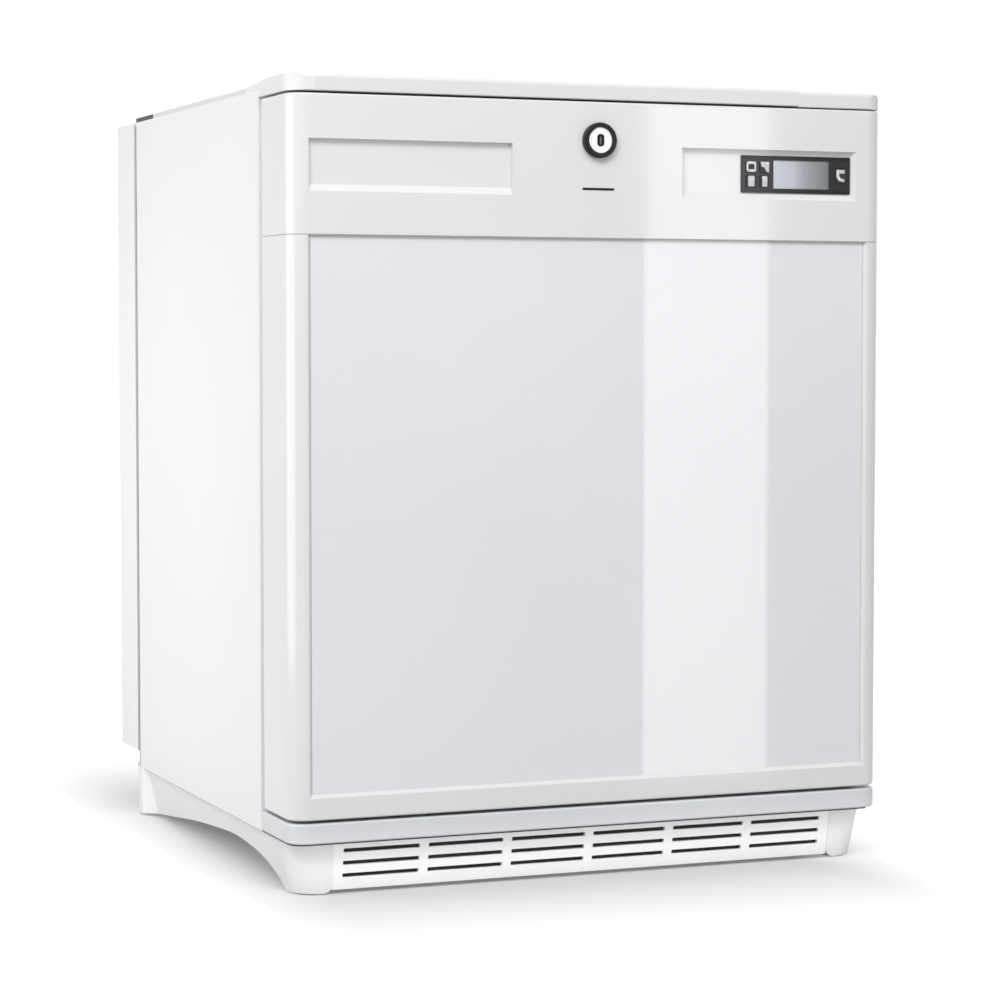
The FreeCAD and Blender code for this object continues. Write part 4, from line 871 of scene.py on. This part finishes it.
def screw(shape, points):
    low, high = box_of(points)
    axis = middle((low, high))
    near_top = [p for p in points if p.z > high.z - HEAD_H / 2]
    top_reach = max(math.hypot(p.x - axis.x, p.y - axis.y) for p in near_top)
    up = 1 if top_reach > HEAD_R - SHANK_R / 2 else -1
    tip = high.z if up > 0 else low.z
    length = high.z - low.z
    slot = cross(CROSS_ARM, CROSS_HALF)
    stack = [([(u * CROSS_FOOT, v * CROSS_FOOT) for u, v in slot], CROSS_DEEP), (slot, CROSS_LIP)]
    stack += [(circle(HEAD_R * share, SCREW_SIDES), drop * MM) for share, drop in DOME]
    stack.append((circle(SHANK_R, SCREW_SIDES), HEAD_H))
    stack.append((circle(SHANK_R, SCREW_SIDES), length - TIP_LENGTH))
    stack.append((circle(SHANK_R * TIP_SHARE, SCREW_SIDES), length))
    skin(shape, [[(axis.x + u, axis.y + v, tip - up * drop) for u, v in outline] for outline, drop in stack])


for name, node in (("cover_screw_set", "cover_screws"), ("hinge_screw_set", "hinge_screws")):
    shape = bmesh.new()
    parts = loose_parts(node)
    for points in parts:
        screw(shape, points)
    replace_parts(piece(name, shape, "cabinet", plain_steel), node)
    print(name, len(parts))

# %% [markdown]
# ## Lamp lens
# The small lamp under the ceiling has a ribbed clear lens, which spreads the light. Ribs drawn by a bump
# would not change its outline, so they are modelled: an arch is carried along the lamp, and every second
# station is a little lower. Towards both ends the arch gets smaller, which closes the lens with a nose.

# %% Lamp lens
RIBS = 34
RIB_DEEP = 0.35 * MM
ARCH_STEPS = 16
ARCH_POWER = 0.5
NOSE_RATE = 2
NOSE_RISE, NOSE_LEAST = 0.75, 0.25
WIDTH_LEAST, WIDTH_RISE = 0.8, 0.2

lens_clear = surface("lens_clear", grey(0.86), grey(0.93), (0.16, 0.26), 300, 0.03,
                     Transmission_Weight=0.55, IOR=1.49)


def lamp_lens():
    low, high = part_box("interior_lamp")
    centre, half_d = middle((low, high)), (high.y - low.y) / 2
    stations = 2 * RIBS
    rings = []
    for i in range(stations + 1):
        along = i / stations
        x = low.x + along * (high.x - low.x)
        end = min(along, 1 - along) * (high.x - low.x) / half_d
        nose = math.sqrt(max(0.0, 1 - max(0.0, 1 - end * NOSE_RATE) ** 2))
        fill = nose * NOSE_RISE + NOSE_LEAST
        drop = (high.z - low.z) * fill - RIB_DEEP * (i % 2)
        wide = WIDTH_LEAST + WIDTH_RISE * fill
        ring = []
        for step in range(ARCH_STEPS + 1):
            turn = math.pi * step / ARCH_STEPS
            flat = math.sin(turn) ** ARCH_POWER
            ring.append((x, centre.y - half_d * math.cos(turn) * wide, high.z - drop * flat))
        rings.append(ring)
    shape = skin(bmesh.new(), rings)
    lens_piece = piece("lamp_lens", shape, "cabinet", lens_clear, SOFT_EDGE)
    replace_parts(lens_piece, "interior_lamp")
    return lens_piece


lamp_lens()
print("lens ribs:", RIBS)

# %% [markdown]
# ## Pins of the mains inlet
# The inlet at the back is a black socket with three flat pins. The solids hold the pins' cores. Scaled cubes
# could cover them, but rings give round edges and bevelled tips at once. These bright sleeves are placed
# from the opening that the record states for the socket.

# %% Inlet pins
PIN_SIZE = (2.7 * MM, 4.3 * MM)
PIN_ROUND = 0.4 * MM
PIN_ROUND_STEPS = 3
PIN_STEP = 6.75 * MM
PIN_LIFT = 2.0 * MM
PIN_LENGTH = 14.0 * MM
PIN_SHORT = 2.3 * MM
PIN_BEVEL = 0.8 * MM
PIN_TIP = 0.7
PIN_PLACES = ((-1, -1), (0, 1), (1, -1))

mouth = next(room for room in record["physics"]["openings"] if room["name"] == "mains_socket_mouth")
mouth_spot = middle([Vector(corner) for corner in mouth["box_m"]])
pin_tip = solid_box[1].y - PIN_SHORT
pin_outline = rounded(*PIN_SIZE, PIN_ROUND, PIN_ROUND_STEPS)
shape = bmesh.new()
for across, lift in PIN_PLACES:
    spot = Vector((mouth_spot.x + across * PIN_STEP, 0, mouth_spot.z + lift * PIN_LIFT))
    skin(shape, [upright(pin_outline, spot, pin_tip - PIN_LENGTH),
                 upright(pin_outline, spot, pin_tip - PIN_BEVEL),
                 upright(pin_outline, spot, pin_tip, PIN_TIP)])
piece("inlet_pins", shape, "cabinet", plain_steel)
print("inlet pins at", [round(v, 3) for v in mouth_spot])

# %% [markdown]
# ## Shade sheet and joint strips
# Behind the slots of the plinth the picture is dark. A near-black sheet behind the grille paints that shade.
# A black plate would look flat, so it is a thin sheet that leans with the grille and is a little wavy. The
# other pieces are strips that fill joints and paint the shade in them: a dark one under the trim and the
# side walls, a pale one in the split between the door and its fascia, and a grey one in the groove in front
# of the rear cover. The first two follow the outline seen from above, a path with rounded front corners. The
# third goes up one side, over the top and down the other.

# %% Shade sheet and joint strips
SHEET_GAP = 0.5 * MM
SHEET_T = 1.5 * MM
SHEET_WAVE = 0.2 * MM
SHEET_RATE = 0.9
SHEET_SIDE = 2.5 * MM
SHEET_ROWS, SHEET_CELLS = 8, 60
GRILLE_THICK = 3.0 * MM
STRIP_IN = 1.4 * MM
STRIP_T = 1.2 * MM
STRIP_DROP = 1.0 * MM
STRIP_END = 10.0 * MM
CORNER = 14.0 * MM
ARC_STEPS = 8
JOINT_IN = 0.35 * MM
JOINT_STOP = 6.5 * MM
COVER_GROOVE_IN = 1.5 * MM
COVER_GROOVE_DEEP = 1.2 * MM

# The dark sheet and the three strip finishes below are painted shade, put where there is only shadow.
shade_sheet_dark = surface("shade_sheet_dark", grey(0.010), grey(0.022), (0.85, 0.95), 1600, 0.6, 900)
trim_line_shade = surface("trim_line_shade", grey(0.05), grey(0.08), (0.7, 0.85), 900, 0.3)
groove_shade_grey = surface("groove_shade_grey", grey(0.10), grey(0.15), (0.7, 0.85), 900, 0.3)
split_line_shade = surface("split_line_shade", grey(0.40), grey(0.46), (0.5, 0.6), 900, 0.1)


# A near-black sheet behind the grille: painted shade for the dark inside of the plinth.
def shade_sheet():
    low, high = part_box("plinth_grille")
    width, height = high.x - low.x - 2 * SHEET_SIDE, high.z - low.z - 2 * SHEET_SIDE
    rings = []
    for i in range(SHEET_CELLS + 1):
        x = low.x + SHEET_SIDE + width * i / SHEET_CELLS
        ring = []
        for back in (0, 1):
            for row in range(SHEET_ROWS + 1):
                up = row / SHEET_ROWS if back == 0 else 1 - row / SHEET_ROWS
                lean = (low.y + GRILLE_THICK) + (high.y - low.y - GRILLE_THICK) * (1 - up)
                wave = SHEET_WAVE * math.sin(SHEET_RATE * i) * math.sin(math.pi * up)
                y = lean + SHEET_GAP + SHEET_WAVE + wave + back * SHEET_T
                ring.append((x, y, low.z + SHEET_SIDE + height * up))
        rings.append(ring)
    return piece("grille_shade_sheet", skin(bmesh.new(), rings), "cabinet", shade_sheet_dark)


def front_path(half, front, radius, rear):
    path = [(-half, rear)]
    for sign in (-1, 1):
        for step in range(ARC_STEPS + 1):
            turn = QUARTER * (step if sign < 0 else ARC_STEPS - step) / ARC_STEPS
            x = sign * (half - radius + radius * math.cos(turn))
            path.append((x, front + radius - radius * math.sin(turn)))
    return path + [(half, rear)]


def strip_along(shape, path, low, high):
    rings = []
    for i, spot in enumerate(path):
        before, after = Vector(path[max(i - 1, 0)]), Vector(path[min(i + 1, len(path) - 1)])
        ahead = (after - before).normalized()
        inner = Vector(spot) + Vector((-ahead.y, ahead.x)) * STRIP_T
        rings.append([(*spot, high), (*inner, high), (*inner, low), (*spot, low)])
    skin(shape, rings)


# A dark strip under the lower edge of the trim: painted shade for the shadow line between trim and plinth.
def trim_shade_strip():
    trim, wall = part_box("bottom_trim"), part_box("side_panel_left")
    half, front = trim[1].x - STRIP_IN, trim[0].y + STRIP_IN
    low, high = trim[0].z - STRIP_DROP, trim[0].z
    path = front_path(half, front, CORNER - STRIP_IN, wall[1].y)[:ARC_STEPS + 2]
    path.append((half - STRIP_END, front))
    shape = bmesh.new()
    strip_along(shape, path, low, high)
    strip_along(shape, [(half, wall[0].y), (half, wall[1].y)], low, high)
    return piece("trim_shade_strip", shape, "cabinet", trim_line_shade)


# A grey strip in the split between door and fascia: painted shade for the line of the split.
def fascia_split_shade():
    shell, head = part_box("door_shell"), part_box("door_fascia")
    half, front = head[1].x - JOINT_IN, head[0].y + JOINT_IN
    path = front_path(half, front, CORNER - JOINT_IN, shell[1].y - JOINT_STOP)
    shape = bmesh.new()
    strip_along(shape, path, shell[1].z, head[0].z)
    return piece("fascia_split_shade", shape, "door", split_line_shade)


# A grey strip in the groove in front of the rear cover: painted shade for that groove.
def cover_groove_shade():
    wall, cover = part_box("side_panel_left"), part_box("rear_cover")
    front, back = wall[1].y + COVER_GROOVE_IN, cover[0].y - COVER_GROOVE_IN
    half, low, high = cover[1].x - COVER_GROOVE_DEEP, wall[0].z, cover[1].z - COVER_GROOVE_DEEP
    under = high - STRIP_T
    rings = []
    for side, z, z_in in ((-1, low, low), (-1, high, under), (1, high, under), (1, low, low)):
        x, x_in = side * half, side * (half - STRIP_T)
        rings.append([(x, front, z), (x_in, front, z_in), (x_in, back, z_in), (x, back, z)])
    return piece("cover_groove_shade", skin(bmesh.new(), rings), "cabinet", groove_shade_grey)


shade_sheet()
trim_shade_strip()
fascia_split_shade()
cover_groove_shade()
print("fleece and joint strips in place")
